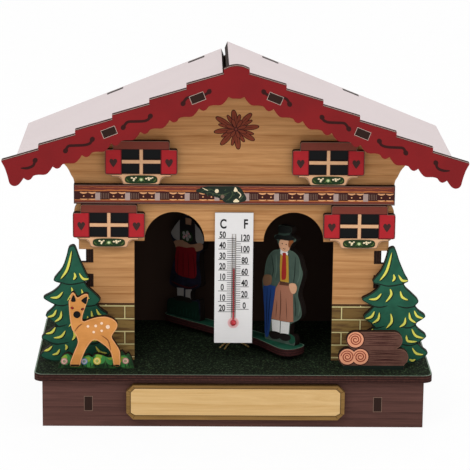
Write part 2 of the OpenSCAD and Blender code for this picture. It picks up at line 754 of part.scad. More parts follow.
// S-shaped platform with a hole for the gut and a slot under each figure
module turntable() {
    color("#1f6b4a") translate([0, 0, platform_bottom]) on_gut() difference() {
        linear_extrude(board_t) difference() {
            polygon(concat(platform_half(platform_reach, 1), -platform_half(rear_reach, rear_bulge)));
            for (side = [-1, 1])
                translate([side * figure_s, 0])
                    square([figure_tab + slot_wide, board_t + slot_wide], center = true);
        }
        translate([0, 0, -past]) cylinder(r = gut_r + gut_play, h = board_t + 2 * past);
    }
}

// Flat figure standing on one arm of the platform, drawn round its tab, which reaches down through the arm
module figure(side) {
    translate([0, 0, platform_top]) on_gut() translate([side * figure_s, 0]) facing(-board_t / 2) union() {
        scale(figure_size) children();
        box2(-figure_tab / 2, -board_t, figure_tab / 2, tab_root);
    }
}

// Man's outline from the right foot up: coat, arm, hat, then umbrella and feet
man_runs = [
    [[9.7, 0], [10.2, 2.2], [9.5, 4.4], [7.7, 4.9], [6.7, 4]],
    [[7.1, 9.6], [9.1, 10.9], [12.3, 12.9], [13.7, 15.6], [12.9, 19.6], [11.3, 24], [12.2, 28], [13.9, 34],
        [12.7, 37.6], [11.4, 41.4], [8.7, 43.4], [6.1, 44]],
    [[6.5, 45.4], [7.9, 47.4], [9.6, 48.6], [9.4, 49.6]],
    [[6.3, 50.6], [7.2, 54.1], [3.3, 54.5], [-0.5, 54]],
    [[0.1, 50.2], [-2.7, 49.2], [-2.9, 47.8], [-1.2, 47.1]],
    [[-0.9, 45.9], [0.3, 43.3], [-3.1, 42.2], [-6.2, 39.1], [-7.9, 34.8], [-8.6, 29.4], [-9.6, 27.6],
        [-9.4, 23.6], [-8.3, 15.5], [-7.8, 7]],
    [[-7.8, 0]],
];

// Man with hat and umbrella, who comes out for rain
module weather_man() {
    color("#3f4a3f") figure(1) polygon(outline(man_runs));
}

// Woman's outline from the mound's left end up: skirt, sleeve, head, then the other side
woman_runs = [
    [[-10.2, 0], [-10.4, 4], [-9.7, 6.9], [-6.7, 8], [-4.3, 8.3]],
    [[-3.9, 13.2], [-8.6, 14.6]],
    [[-8.2, 19.3], [-6.4, 25.6], [-4.6, 32.1]],
    [[-6.9, 36.2], [-8.1, 38.9], [-6, 42.5], [-2.4, 46.6], [0.7, 48.8]],
    [[0.5, 50.2], [-1.5, 53.4], [-0.9, 57.6], [2.4, 60], [5.7, 57.6], [6.3, 53.4], [4.3, 50.2]],
    [[4.1, 48.8], [7.9, 45.8], [10.9, 43.4], [12.8, 39], [12.2, 34.6], [10.2, 32.6]],
    [[10.3, 26.2], [11.2, 19.5], [10.3, 16.6], [5, 13.6]],
    [[4.8, 9.7], [6.6, 9.2], [9.7, 10.4], [10.7, 8], [10.9, 4]],
    [[10.5, 0]],
];

// Woman with a bouquet, who comes out for sunshine
module weather_woman() {
    color("#8c2f3a") figure(-1) polygon(reversed(outline(woman_runs)));
}

// Peg in the attic floor: a flange to rest on, a bore for the gut and a grip with two flats
module gut_peg() {
    color("#b98a55") translate([0, gut_y, 0]) difference() {
        union() {
            translate([0, 0, peg_foot]) cylinder(r = peg_r, h = peg_top - peg_foot);
            translate([0, 0, flange_z]) cylinder(r = flange_r, h = flange_h);
        }
        translate([0, 0, peg_foot - past]) cylinder(r = gut_r + gut_play, h = peg_top - peg_foot + 2 * past);
        for (side = [-1, 1])
            translate([side * (grip_w / 2 + peg_r), 0, peg_foot - past + grip_len / 2])
                cube([2 * peg_r, 3 * peg_r, grip_len], center = true);
    }
}

// Routes of the gut's loose ends under the platform, from the gut, in real sizes
gut_tails = [
    [[0, 0, 0], [-1.5, -4.5, 0.1], [-4, -10, -0.3], [-5.5, -14, -0.5]],
    [[0, 0, 0], [-0.5, -5, -0.2], [-2, -11, 0], [-3.5, -16, -0.5]],
    [[0, 0, 0], [2, -5, 0.1], [5.5, -9.5, -0.2], [7.5, -13, -0.5]],
];
// Tube of eight sides swept along the knots of a route, closed at both ends
module swept_tube(route, r) {
    path = concat(curve(route, 4), [route[len(route) - 1]]);
    count = len(path);
    ring = [for (i = [0 : count - 1])
        let (ahead = path[min(i + 1, count - 1)] - path[max(i - 1, 0)],
            across = cross(ahead, [0, 0, 1]),
            side = across / norm(across),
            up = cross(side, ahead) / norm(cross(side, ahead)))
        for (k = [0 : 7]) path[i] + r * (cos(45 * k) * side + sin(45 * k) * up)];
    walls = [for (i = [0 : count - 2], k = [0 : 7])
        [8 * i + k, 8 * i + (k + 1) % 8, 8 * i + 8 + (k + 1) % 8, 8 * i + 8 + k]];
    caps = [[for (k = [7 : -1 : 0]) k], [for (k = [0 : 7]) 8 * (count - 1) + k]];
    polyhedron(ring, concat(walls, caps));
}

// Round knot with flattened poles
module knot() {
    rotate_extrude() polygon(arc([0, 0], knot_r, -90, 90, 12));
}

// Twisted gut from the top knot through the peg and the platform to its loose ends
module gut_string() {
    color("#d8c08a") translate([0, gut_y, 0]) union() {
        translate([0, 0, end_knot_z]) cylinder(r = gut_r, h = top_knot_z - end_knot_z);
        translate([0, 0, top_knot_z]) knot();
        translate([0, 0, end_knot_z]) knot();
        for (route = gut_tails)
            translate([0, 0, end_knot_z]) swept_tube(route, tail_r);
    }
}

plinth_long(-plinth_front);  // base_front
plinth_long(plinth_in_back);  // base_back
plinth_end(-plinth_w / 2);  // base_left_end
plinth_end(plinth_w / 2 - board_t);  // base_right_end
rib(-wall_span / 2);  // rib_left
rib(wall_span / 2);  // rib_right
deck();
nameplate();
front_wall();
back_wall();
side_wall(-1);  // left_wall
side_wall(1);  // right_wall
attic_floor();
roof_panel(-1, left_stop);  // roof_left
roof_panel(1, -right_lap);  // roof_right
bargeboard();
balcony();
window_plate(-upper_window_x, upper_window_z);  // window_upper_left
window_plate(upper_window_x, upper_window_z);  // window_upper_right
window_plate(-lower_window_x, lower_window_z);  // window_lower_left
window_plate(lower_window_x, lower_window_z);  // window_lower_right
tree(-1);  // tree_left
tree(1);  // tree_right
grass_strip();
fawn();
log_pile();
thermometer_plate();
thermometer_tube();
spirit_column();
gut_peg();
turntable();
weather_man();
weather_woman();
gut_string();
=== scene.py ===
"""Finished look of the weather house with its thermometer, laid out as an add-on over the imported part."""
import math
from functools import partial

import bpy
from bpy.props import FloatProperty, FloatVectorProperty, PointerProperty
from mathutils import Matrix, Vector
from mathutils.geometry import tessellate_polygon


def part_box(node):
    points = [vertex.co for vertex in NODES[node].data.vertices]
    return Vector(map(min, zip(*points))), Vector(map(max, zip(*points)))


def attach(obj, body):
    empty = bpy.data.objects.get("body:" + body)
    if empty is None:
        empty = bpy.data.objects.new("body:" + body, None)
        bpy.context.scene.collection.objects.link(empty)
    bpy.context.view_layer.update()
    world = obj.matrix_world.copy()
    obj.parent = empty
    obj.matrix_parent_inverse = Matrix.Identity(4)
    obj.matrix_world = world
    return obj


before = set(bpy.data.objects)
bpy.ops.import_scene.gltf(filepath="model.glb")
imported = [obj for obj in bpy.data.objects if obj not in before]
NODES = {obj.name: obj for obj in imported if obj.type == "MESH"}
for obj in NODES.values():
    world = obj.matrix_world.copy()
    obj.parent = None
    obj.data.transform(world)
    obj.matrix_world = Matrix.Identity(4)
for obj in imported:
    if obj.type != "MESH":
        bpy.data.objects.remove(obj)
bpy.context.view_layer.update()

bl_info = {
    "name": "Weather house finish",
    "version": (1, 0, 0),
    "blender": (4, 5, 0),
    "location": "3D View > Sidebar > Weather house",
    "description": "Printed pictures, plywood, paint and the photo's view for the weather house",
    "category": "Object",
}

MM = 0.001
FRONT, REAR, LEFT, RIGHT, UP = (0, -1, 0), (0, 1, 0), (-1, 0, 0), (1, 0, 0), (0, 0, 1)

# Printing inks in sRGB, under the pieces that wear them
INKS = {
    # Cut lines, paler than the face, and the burnt ends of tabs; the green lines and the pale ones on the
    # verge board's upward edges are painted highlights
    "edge_highlight_green": "#7c9280", "rim_pale": "#c9b3a6", "rim_brown": "#7d6456", "tab_dark": "#2a1812",
    # Name board's mitre lines, the verge board's scrolls, the gable's flower and its outlines
    "frame_dark": "#5c4424", "umber": "#33100f", "petal_brown": "#7c3824", "petal_dark": "#3c120e",
    # Balcony: ground, rails, bright lines, ornaments, posts, a sprig and its lit veins
    "wine": "#3c1a18", "lintel_brown": "#74352a", "orange_line": "#b56c3a", "orange_pale": "#dca070",
    "post_grey": "#a9928a", "sprig_green": "#1f2a22", "sprig_light": "#47553a",
    # Windows: shutters, hearts, bars and sills, then the leaves and blossoms of the boxes
    "shutter_red": "#a92229", "heart_wine": "#3e2624", "peach": "#d8a981", "black": "#0d0b0c",
    "leaf_green": "#1f3319", "moss_olive": "#5f7038", "pale_green": "#8fae76", "cream": "#ead9b4",
    # Trees: sunlit branch ends, and the shade under them
    "needle_yellow": "#ddd75e", "needle_dark": "#152019",
    # Fawn's spots and shading lines
    "fawn_cream": "#efd2b8", "fawn_brown": "#7d4a2a",
    # Grass: light, brightest, and darkened behind the door as painted shade; then its flowers
    "grass_light": "#3f8a45", "grass_yellow": "#86a83e", "grass_dim": "#17352a",
    "blossom_pink": "#c98088", "blossom_blue": "#6f92d0", "flower_yellow": "#d9c544",
    # Logs: sawn ends, growth rings, bark lines
    "log_salmon": "#e09a78", "log_ring": "#8a3a26", "log_line": "#7b5a48",
    # Scale: ticks and figures, and the red light that the bulb throws on the card
    "scale_ink": "#191617", "bulb_blush": "#eab9b8",
    # Both figures; skin_shade is painted shade on the man's left hand, and the dim inks are painted shade for
    # what stands deep in the doorway
    "skin": "#d9a582", "skin_shade": "#7d5c44", "skin_dim": "#9a735a", "hair_brown": "#8a4f2a",
    "eye_brown": "#431a12", "shoe_black": "#1a1513", "moss_green": "#1d4a38", "moss_dim": "#10261d",
    # Man: hat, linen, vest and tie, the coat's seams and lit folds, trousers, umbrella and its pleats
    "hat_felt": "#131614", "hat_band": "#2c3a33", "cloth_white": "#e4e2de", "vest_gold": "#b98f35",
    "tie_red": "#a02c26", "coat_line": "#1b2420", "coat_light": "#55695d", "trouser_brown": "#a8715a",
    "trouser_dark": "#5c3a2c", "umbrella_blue": "#24427e", "shadow_pleat": "#0f1a36",
    # Woman: linen darkened as painted shade, bodice, apron and its folds
    "linen_in_painted_shade": "#8f8a86", "bodice_black": "#1f1a1c", "apron_red": "#75131a", "apron_line": "#3f0c10",
}


def linear(colour):
    """A colour for a socket: sRGB hex turned linear, or three linear values from a property."""
    if not isinstance(colour, str):
        return (*colour[:3], 1.0)
    parts = [int(colour[i : i + 2], 16) / 255 for i in (1, 3, 5)]
    return (*[p / 12.92 if p <= 0.04045 else ((p + 0.055) / 1.055) ** 2.4 for p in parts], 1.0)


def add_node(tree, kind, *inputs, **settings):
    """Adds a node with its settings and inputs, which come in its sockets' order or as one dictionary.

    An input is another node, one of a node's outputs, or a value."""
    node = tree.nodes.new("ShaderNode" + kind)
    for name, value in settings.items():
        setattr(node, name, value)
    named = inputs[0] if inputs and isinstance(inputs[0], dict) else dict(enumerate(inputs))
    for name, value in named.items():
        socket = node.inputs[name]
        if isinstance(value, bpy.types.Node):
            value = next(o for o in value.outputs if o.enabled)
        if isinstance(value, bpy.types.NodeSocket):
            tree.links.new(value, socket)
        elif socket.type == "RGBA":
            socket.default_value = linear(value)
        else:
            socket.default_value = value
    return node


# Finishes: each function gives (colour, roughness, height in mm) at a point whose place is in mm.
# A Mix node's socket 0 is the share, 2 and 3 take numbers, and 6 and 7 take colours
def stretched(add, mm, along, squeeze=0.04):
    """The point with one axis pressed together, so that patterns run long in that direction."""
    factors = [squeeze if axis == along else 1.0 for axis in "XYZ"]
    return add("VectorMath", mm, factors, operation="MULTIPLY")


def grained(light, dark, along="X", across="Z", ring=4.3, rough=0.55, seed=0.0, depth=0.04):
    """Plywood's face: fine fibres along the grain, growth lines `ring` mm apart and slow darker bands."""

    def finish(add, mm):
        spot = add("VectorMath", mm, (seed, seed * 1.7, seed * 0.6))
        flow = stretched(add, spot, along)
        # Growth lines drift a few millimetres aside, in waves 11 mm across and 275 mm along the grain
        wander = add("TexNoise", {"Vector": flow, "Scale": 1 / 11, "Detail": 2.0})
        push = add("VectorMath", {0: wander.outputs["Color"], "Scale": 9.0}, operation="SCALE")
        bent = add("VectorMath", flow, push)
        # A wave texture of scale 1 repeats every 0.314
        waves = {"Vector": bent, "Scale": 0.314 / ring, "Distortion": 0.8, "Detail": 1.0, "Detail Scale": 0.4}
        rings = add("TexWave", waves, bands_direction=across, wave_profile="SAW")
        late = add("Math", rings.outputs["Fac"], 4.0, operation="POWER")
        # Fibres are 0.1 mm thick; they are drawn 0.9 mm thick, with finer ones within, so that they show
        fine = {"Vector": bent, "Scale": 1 / 0.9, "Detail": 4.0, "Roughness": 0.62}
        fibres = add("TexNoise", fine)
        # Bands of darker wood some 13 mm wide
        bands = add("TexNoise", {"Vector": bent, "Scale": 1 / 13, "Detail": 1.0})
        # Late wood, bands and fibres add up to how dark the wood is
        tone = add("Math", late, 0.3, -0.72, operation="MULTIPLY_ADD")
        tone = add("Math", bands.outputs["Fac"], 0.9, tone, operation="MULTIPLY_ADD")
        tone = add("Math", fibres.outputs["Fac"], 1.1, tone, operation="MULTIPLY_ADD")
        colour = add("Mix", {0: tone, 6: light, 7: dark}, data_type="RGBA", clamp_factor=True)
        gloss = add("Math", tone, 0.2, rough, operation="MULTIPLY_ADD")
        height = add("Math", tone, -depth, operation="MULTIPLY")
        return colour, gloss, height

    return finish


def painted(colour, shade=None, rough=0.5, patch=14.0, tooth=0.015, spread=0.5, along="X"):
    """Paint or ink on wood: slow patches `patch` mm wide, and the wood's fibres showing through."""

    def finish(add, mm):
        patches = add("TexNoise", {"Vector": mm, "Scale": 1 / patch, "Detail": 3.0})
        # Fibres under the paint are drawn 0.4 mm thick so that they show
        flow = stretched(add, mm, along, 0.08)
        fibres = add("TexNoise", {"Vector": flow, "Scale": 1 / 0.4, "Detail": 3.0}).outputs["Fac"]
        reach = {"Value": patches.outputs["Fac"], "From Min": 0.36, "From Max": 0.62, "To Max": spread}
        amount = add("MapRange", reach)
        tone = add("Mix", {0: amount, 6: colour, 7: shade or colour}, data_type="RGBA")
        # Patches and fibres lighten and darken the colour round the value that it is written with
        level = add("Math", amount, -0.12, 1.03 - 0.17 * spread, operation="MULTIPLY_ADD")
        level = add("Math", fibres, 0.4 * spread, level, operation="MULTIPLY_ADD")
        tone = add("HueSaturation", {"Value": level, "Color": tone})
        gloss = add("Math", fibres, 0.16, rough - 0.08, operation="MULTIPLY_ADD")
        height = add("Math", fibres, tooth, operation="MULTIPLY")
        return tone, gloss, height

    return finish


# Backs that nobody prints on: raw plywood, browned by the laser's smoke
BARE = painted("#4a3328")


def flocked(light, dark, tip):
    """Dyed flock: short fibres that scatter light in grains, with a few bright tips."""

    def finish(add, mm):
        # Tufts of flock are 0.3 mm wide; they are drawn 0.7 mm wide so that they show
        grains = add("TexNoise", {"Vector": mm, "Scale": 1 / 0.7, "Detail": 2.0}).outputs["Fac"]
        amount = add("MapRange", {"Value": grains, "From Min": 0.43, "From Max": 0.62})
        bright = add("MapRange", {"Value": grains, "From Min": 0.62, "From Max": 0.72})
        tone = add("Mix", {0: amount, 6: dark, 7: light}, data_type="RGBA")
        tone = add("Mix", {0: bright, 6: tone, 7: tip}, data_type="RGBA")
        height = add("Math", grains, 0.3, operation="MULTIPLY")
        return tone, 0.96, height

    return finish


def bricked(wall, top, brick, brick_dark, mortar):
    """The front wall: bricks printed below the line at `top` mm, plain pine above it."""

    def finish(add, mm):
        parts = add("SeparateXYZ", mm)
        # Both piers mirror each other; the joints count from 119.7 mm past the middle and 9.2 mm underground
        away = add("Math", parts.outputs["X"], operation="ABSOLUTE")
        u = add("Math", away, 119.7, operation="ADD")
        v = add("Math", parts.outputs["Z"], 9.2, operation="ADD")
        place = add("CombineXYZ", {"X": u, "Y": v})
        # Bricks of 16.8 by 5.9 mm, as the scale makes one unit 10 mm
        size = {"Vector": place, "Scale": 0.1, "Brick Width": 1.68, "Row Height": 0.59, "Bias": 0.0}
        dusk = {"Mortar Size": 0.1, "Mortar Smooth": 1.0, "Mortar": "#2c2013"}
        wide = add("TexBrick", {**size, **dusk, "Color1": brick, "Color2": brick_dark})
        thin = add("TexBrick", {**size, "Mortar Size": 0.028, "Mortar Smooth": 0.2})
        plain = wall(add, mm)
        # Dark streaks some 1.4 mm high run along each brick
        flow = stretched(add, mm, "X", 0.15)
        streaks = add("TexNoise", {"Vector": flow, "Scale": 1 / 1.4, "Detail": 3.0})
        reach = {"Value": streaks.outputs["Fac"], "From Min": 0.44, "From Max": 0.62, "To Max": 0.95}
        dirt = add("MapRange", reach)
        tone = add("Mix", {0: dirt, 6: wide.outputs["Color"], 7: "#30240f"}, data_type="RGBA")
        tone = add("Mix", {0: thin.outputs["Fac"], 6: tone, 7: mortar}, data_type="RGBA")
        tone = add("Mix", {0: 0.18, 6: tone, 7: plain[0]}, data_type="RGBA")
        below = add("Math", parts.outputs["Z"], top, operation="LESS_THAN")
        line = add("Math", parts.outputs["Z"], top, 0.35, operation="COMPARE")
        printed = over(add, below, plain, (tone, 0.6, plain[2]))
        return over(add, line, printed, ("#3c2516", 0.6, plain[2]))

    return finish


def ticked(spirit, first, step):
    """The spirit crossed by the scale's ticks, `step` mm apart, which the round glass pulls inward."""

    def finish(add, mm):
        look = spirit(add, mm)
        high = add("SeparateXYZ", mm).outputs["Z"]
        turns = add("Math", high, first + step / 4, operation="SUBTRACT")
        turns = add("Math", turns, 1 / step, operation="MULTIPLY")
        share = add("Math", turns, operation="FRACT")
        # Ticks are 0.22 mm thick; they are drawn 0.45 of a step thick, about 0.43 mm, so that they show
        tick = add("Math", share, 0.45, operation="LESS_THAN")
        above = add("Math", high, first - 0.3, operation="GREATER_THAN")
        both = add("Math", tick, above, operation="MULTIPLY")
        return over(add, both, look, ("#4a1418", 0.4, look[2]))

    return finish


def glazed(ground, depth):
    """A window's ground on the face, and black glass where the panes lie deeper than `depth` mm."""

    def finish(add, mm):
        look = ground(add, mm)
        parts = add("SeparateXYZ", mm)
        sunk = add("Math", parts.outputs["Y"], depth, operation="GREATER_THAN")
        return over(add, sunk, look, ("#08090b", 0.35, look[2]))

    return finish


def over(add, mask, under, upper):
    """Where the mask is 1 the upper finish shows, and elsewhere the one under it."""
    colour = add("Mix", {0: mask, 6: under[0], 7: upper[0]}, data_type="RGBA")
    rough = add("Mix", {0: mask, 2: under[1], 3: upper[1]})
    height = add("Mix", {0: mask, 2: under[2], 3: upper[2]})
    return colour, rough, height


def material(name, face, toward=None, back=BARE, edge="#1d110d", edge_light="#3a241a", bump=1.0, **more):
    """A named material: one finish all over, or a board's face, its back and its laser-darkened edges.

    More holds `sockets`, which are constants of the shader, and `shown`, which makes what is seen of it."""
    made = bpy.data.materials.new(name)
    made.use_nodes = True
    tree = made.node_tree
    tree.nodes.clear()
    add = partial(add_node, tree)
    where = add("TexCoord")
    mm = add("VectorMath", {0: where.outputs["Object"], "Scale": 1 / MM}, operation="SCALE")
    look = face(add, mm)
    if toward is not None:
        lean = add("VectorMath", where.outputs["Normal"], toward, operation="DOT_PRODUCT")
        through = add("VectorMath", mm, toward, operation="DOT_PRODUCT")
        lean, through = lean.outputs["Value"], through.outputs["Value"]
        # A ply is 1.07 mm thick, and soot gathers in spots of 1.1 mm
        turn = add("Math", through, math.tau / 1.07, operation="MULTIPLY")
        plies = add("Math", turn, operation="SINE")
        soot = add("TexNoise", {"Vector": mm, "Scale": 0.9, "Detail": 3.0})
        stripe = add("Math", plies, 0.22, soot.outputs["Fac"], operation="MULTIPLY_ADD")
        stripe = add("MapRange", {"Value": stripe, "From Min": 0.4, "From Max": 0.85})
        burnt = add("Mix", {0: stripe, 6: edge, 7: edge_light}, data_type="RGBA")
        ridge = add("Math", plies, 0.04, operation="MULTIPLY")
        # The face looks within 26 degrees of `toward`, the back looks away from it, and the rest is cut
        front = add("Math", lean, 0.9, operation="GREATER_THAN")
        rear = add("Math", lean, -0.9, operation="LESS_THAN")
        look = over(add, front, (burnt, 0.75, ridge), look)
        look = over(add, rear, look, back(add, mm))
    relief = add("Bump", {"Height": look[2], "Distance": MM, "Strength": bump})
    coat = {"Base Color": look[0], "Roughness": look[1], "Normal": relief, "Specular IOR Level": 0.12}
    shader = add("BsdfPrincipled", {**coat, **more.get("sockets", {})})
    if "shown" in more:
        shader = more["shown"](add, shader)
    add("OutputMaterial", {"Surface": shader})
    return made


def ink(name):
    """The material of one printing ink on wood, made once: flat colour over a little of the grain."""
    title = "printed " + name.replace("_", " ")
    flat = painted(INKS[name], patch=5.0, rough=0.52, tooth=0.02)
    return bpy.data.materials.get(title) or material(title, flat)


def dress(name, slot, title, face, *sides, **more):
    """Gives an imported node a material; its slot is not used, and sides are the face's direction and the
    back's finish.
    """
    node = NODES[name]
    node.data.materials.clear()
    node.data.materials.append(material(title, face, *sides, **more))


# Outlines: points (u, v) in mm on the face they are printed on
def smooth(points, closed=True, steps=5):
    """A round curve through the points."""
    spans = len(points) if closed else len(points) - 1
    points = [points[-1], *points, *points[:2]] if closed else [points[0], *points, points[-1]]
    made = []
    for i in range(spans):
        a, b, c, d = (Vector(p) for p in points[i : i + 4])
        square, cube = 2 * a - 5 * b + 4 * c - d, 3 * b - a - 3 * c + d
        for k in range(steps):
            t = k / steps
            made.append(tuple(0.5 * (2 * b + (c - a) * t + square * t * t + cube * t**3)))
    return made if closed else [*made, tuple(points[-1])]


def stroke(points, width, start=0.15, end=0.15, steps=5, sag=0.0):
    """A brush stroke: start and end are shares of the width at its tips; sag lowers a straight one."""
    line = [Vector(p) for p in points]
    if sag and len(line) == 2:
        side = Vector((line[1].y - line[0].y, line[0].x - line[1].x)) * sag
        line.insert(1, (line[0] + line[1]) / 2 + (side if side.y < 0 else -side))
    if len(line) > 2:
        line = [Vector(p) for p in smooth(line, closed=False, steps=steps)]
    else:
        line = [line[0].lerp(line[1], k / 6) for k in range(7)]
    left, right = [], []
    # The stroke swells toward its middle
    for i, p in enumerate(line):
        way = (line[min(i + 1, len(line) - 1)] - line[max(i - 1, 0)]).normalized()
        t = i / (len(line) - 1)
        share = start + (end - start) * t
        half = width / 2 * (share + (1 - share) * math.sin(math.pi * t) ** 0.8)
        side = Vector((-way.y, way.x)) * half
        left.append(tuple(p + side))
        right.append(tuple(p - side))
    return left + right[::-1]


def strokes(runs, width, *tips, **more):
    """One brush stroke along each run of points."""
    return [stroke(run, width, *tips, **more) for run in runs]


def turned(points, u, v, angle):
    """The points turned by an angle and set down round (u, v)."""
    c, s = math.cos(angle), math.sin(angle)
    return [(u + x * c - y * s, v + x * s + y * c) for x, y in points]


def disc(u, v, r, squash=1.0, turn=0.0, count=20):
    """A round or oval spot."""
    angles = [math.tau * k / count for k in range(count)]
    return turned([(r * math.cos(a), r * squash * math.sin(a)) for a in angles], u, v, turn)


def round_line(u, v, r, width):
    """A round line: its outer and inner edge."""
    return [disc(u, v, r), disc(u, v, r - width)[::-1]]


def rect(u0, v0, u1, v1):
    """A straight-sided field."""
    return [(u0, v0), (u1, v0), (u1, v1), (u0, v1)]


def petal(u, v, angle, near, far, width):
    """A round-ended petal between two distances from a flower's middle."""
    half = [(near, width * 0.12), (near + (far - near) * 0.55, width / 2), (far - width * 0.3, width * 0.34)]
    return turned(smooth([*half, (far, 0), *[(x, -y) for x, y in half[::-1]]], steps=3), u, v, angle)


def heart(u, tip, top, width):
    """A heart that stands on its tip."""
    h, w = top - tip, width / 2
    half = [(0, tip), (w * 0.55, tip + h * 0.3), (w, tip + h * 0.66), (w * 0.9, tip + h * 0.9)]
    half += [(w * 0.55, top), (w * 0.2, tip + h * 0.95), (0, tip + h * 0.8)]
    return [(u + x, y) for x, y in half] + [(u - x, y) for x, y in half[-2:0:-1]]


def moved(outlines, du, dv):
    """The outlines somewhere else."""
    return [[(u + du, v + dv) for u, v in outline] for outline in outlines]


def paired(outlines):
    """The outlines and their mirror images to the left."""
    return outlines + [[(-u, v) for u, v in outline] for outline in outlines]


# Faces: a matrix takes u, v and the height above the face, all in mm, to the scene
def upright(y, x=0.0):
    """The face at depth y mm, with its u counted from x: u to the right, v up, height to the front."""
    lay = Matrix(((1, 0, 0, 0), (0, 0, -1, 0), (0, 1, 0, 0), (0, 0, 0, 1)))
    return Matrix.Translation((x * MM, y * MM, 0)) @ lay @ Matrix.Scale(MM, 4)


def front_of(name):
    """The depth in mm of a node's front face."""
    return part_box(name)[0].y / MM


def sloping(name, toward):
    """The face of a node whose outward direction lies across X: u runs up the slope, v to the rear."""
    out = Vector(toward).normalized()
    rearward = Vector(REAR)
    reach = max(out.dot(v.co) for v in NODES[name].data.vertices)
    lay = Matrix((rearward.cross(out), rearward, out)).transposed().to_4x4()
    return Matrix.Translation(out * reach) @ lay @ Matrix.Scale(MM, 4)


def sides(loop):
    """Each point of the loop with the next one."""
    return zip(loop, loop[1:] + loop[:1])


def cut_edges(name, place):
    """The loops round a node's printed face, as (u, v) with the material on their left."""
    mesh = NODES[name].data
    back = place.inverted()
    flat = [back @ v.co for v in mesh.vertices]
    toward = (place.to_3x3() @ Vector(UP)).normalized()
    edges = set()
    # Only what looks along the face and lies within 0.08 mm of it counts
    for face in mesh.polygons:
        if face.normal.dot(toward) < 0.99 or max(abs(flat[i].z) for i in face.vertices) > 0.08:
            continue
        keys = [(round(flat[i].x, 3), round(flat[i].y, 3)) for i in face.vertices]
        for a, b in sides(keys):
            # An edge between two faces is met both ways, and drops out
            if (b, a) in edges:
                edges.discard((b, a))
            else:
                edges.add((a, b))
    follow = {}
    for a, b in edges:
        follow.setdefault(a, []).append(b)
    loops = []
    while follow:
        start = next(iter(follow))
        loop = [start]
        while loop[-1] in follow:
            ways = follow[loop[-1]]
            step = ways.pop()
            if not ways:
                del follow[loop[-1]]
            if step == start:
                break
            loop.append(step)
        after = loop[1:] + loop[:1]
        # Points on a straight run drop out
        kept = [p for i, p in enumerate(loop) if abs(turning(loop[i - 1], p, after[i])) > 0.01]
        if len(kept) > 2:
            loops.append(kept)
    return loops


def turning(a, b, c):
    """How far the way a-b-c turns at b, in radians."""
    first, second = Vector(b) - Vector(a), Vector(c) - Vector(b)
    return math.atan2(first.x * second.y - first.y * second.x, first.dot(second))


def area_of(loop):
    """The area a loop holds, below nothing where it runs clockwise."""
    return sum(a[0] * b[1] - b[0] * a[1] for a, b in sides(loop)) / 2


def inward(loop, distance):
    """The loop moved to its left by a distance."""
    made = []
    for i, p in enumerate(loop):
        a = (Vector(p) - Vector(loop[i - 1])).normalized()
        b = (Vector(loop[(i + 1) % len(loop)]) - Vector(p)).normalized()
        normals = Vector((-a.y, a.x)) + Vector((-b.y, b.x))
        scale = max(0.5, 1 + a.dot(b))
        made.append(tuple(Vector(p) + normals * (distance / scale)))
    return made


def seam(outer, inner):
    """The strip between two loops, as short four-sided fields."""
    return [[a, b, d, c] for (a, b), (c, d) in zip(sides(outer), sides(inner))]


def rims(name, place, start, width, top_only=False):
    """Thin lines that follow the cut edges of a node's printed face, or only those that look up."""
    made = []
    for loop in cut_edges(name, place):
        if area_of(loop) > 0:
            strips = seam(inward(loop, start), inward(loop, start + width))
            made += [s for s in strips if not top_only or s[1][0] < s[0][0] - 0.02]
    return made


def slots(name, place, smallest=3.0, largest=60.0):
    """The closed slots of a node's face, each as its loop, with their least and greatest area in mm2."""
    return [loop for loop in cut_edges(name, place) if -largest < area_of(loop) < -smallest]


def slot_lines(loops, width=0.22):
    """A pale line just outside each slot."""
    return [field for loop in loops for field in seam(loop, inward(loop, width))]


def inside(point, loops):
    """Whether a point lies within the loops."""
    hits = 0
    u, v = point
    for loop in loops:
        for (a, b), (c, d) in sides(loop):
            if (b > v) != (d > v) and u < a + (v - b) / (d - b) * (c - a):
                hits += 1
    return hits % 2 == 1


def tucked(outline, loops, keep=0.1):
    """The outline with the points that pass the board's edge drawn back inside it."""
    made, dense = [], []
    # A point at least every 0.8 mm, so that a long side can follow the board's edge
    for a, b in sides(outline):
        parts = max(1, math.ceil((Vector(b) - Vector(a)).length / 0.8))
        dense += [tuple(Vector(a).lerp(Vector(b), k / parts)) for k in range(parts)]
    spans = [(Vector(a), Vector(b) - Vector(a)) for loop in loops for a, b in sides(loop)]
    for point in dense:
        best = None
        for a, span in spans:
            t = min(1, max(0, (Vector(point) - a).dot(span) / max(span.length_squared, 1e-9)))
            near = a + span * t
            gap = (Vector(point) - near).length
            if best is None or gap < best[0]:
                best = (gap, near, Vector((-span.y, span.x)).normalized())
        if inside(point, loops) and best[0] >= keep:
            made.append(point)
        else:
            made.append(tuple(best[1] + best[2] * keep))
    return made


def film(name, place, layers, within=None, body="house"):
    """A printed picture: each layer is an ink's name or a material, and outlines laid above the last."""
    thick = bpy.context.scene.house_prints.layer / MM
    loops = cut_edges(within, place) if within else None
    out = place.to_3x3() @ Vector(UP)
    points, faces, tones, looks = [], [], [], []
    for level, (tone, outlines) in enumerate(layers):
        look = ink(tone) if isinstance(tone, str) else tone
        if look not in looks:
            looks.append(look)
        for k, outline in enumerate(outlines):
            # Fields of one ink may cross, so each lies a hair above its neighbour
            top = thick * (level + 1 + 0.1 * (k % 7))
            edges = outline if isinstance(outline[0], list) else [outline]
            if loops:
                edges = [tucked(e, loops) for e in edges]
            rising = area_of(edges[0]) > 0
            before, upper = len(faces), []
            for edge in edges:
                first, count = len(points), len(edge)
                points += [place @ Vector((u, v, height)) for height in (top, 0) for u, v in edge]
                upper += range(first, first + count)
                for i in range(count):
                    j = (i + 1) % count
                    wall = [first + count + i, first + count + j, first + j, first + i]
                    faces.append(wall if rising else wall[::-1])
            for triple in tessellate_polygon([[Vector((*p, top)) for p in e] for e in edges]):
                corners = [upper[i] for i in triple]
                a, b, c = (points[i] for i in corners)
                faces.append(corners if (b - a).cross(c - a).dot(out) > 0 else corners[::-1])
            tones += [looks.index(look)] * (len(faces) - before)
    return piece(name, body, points, faces, looks, tones)


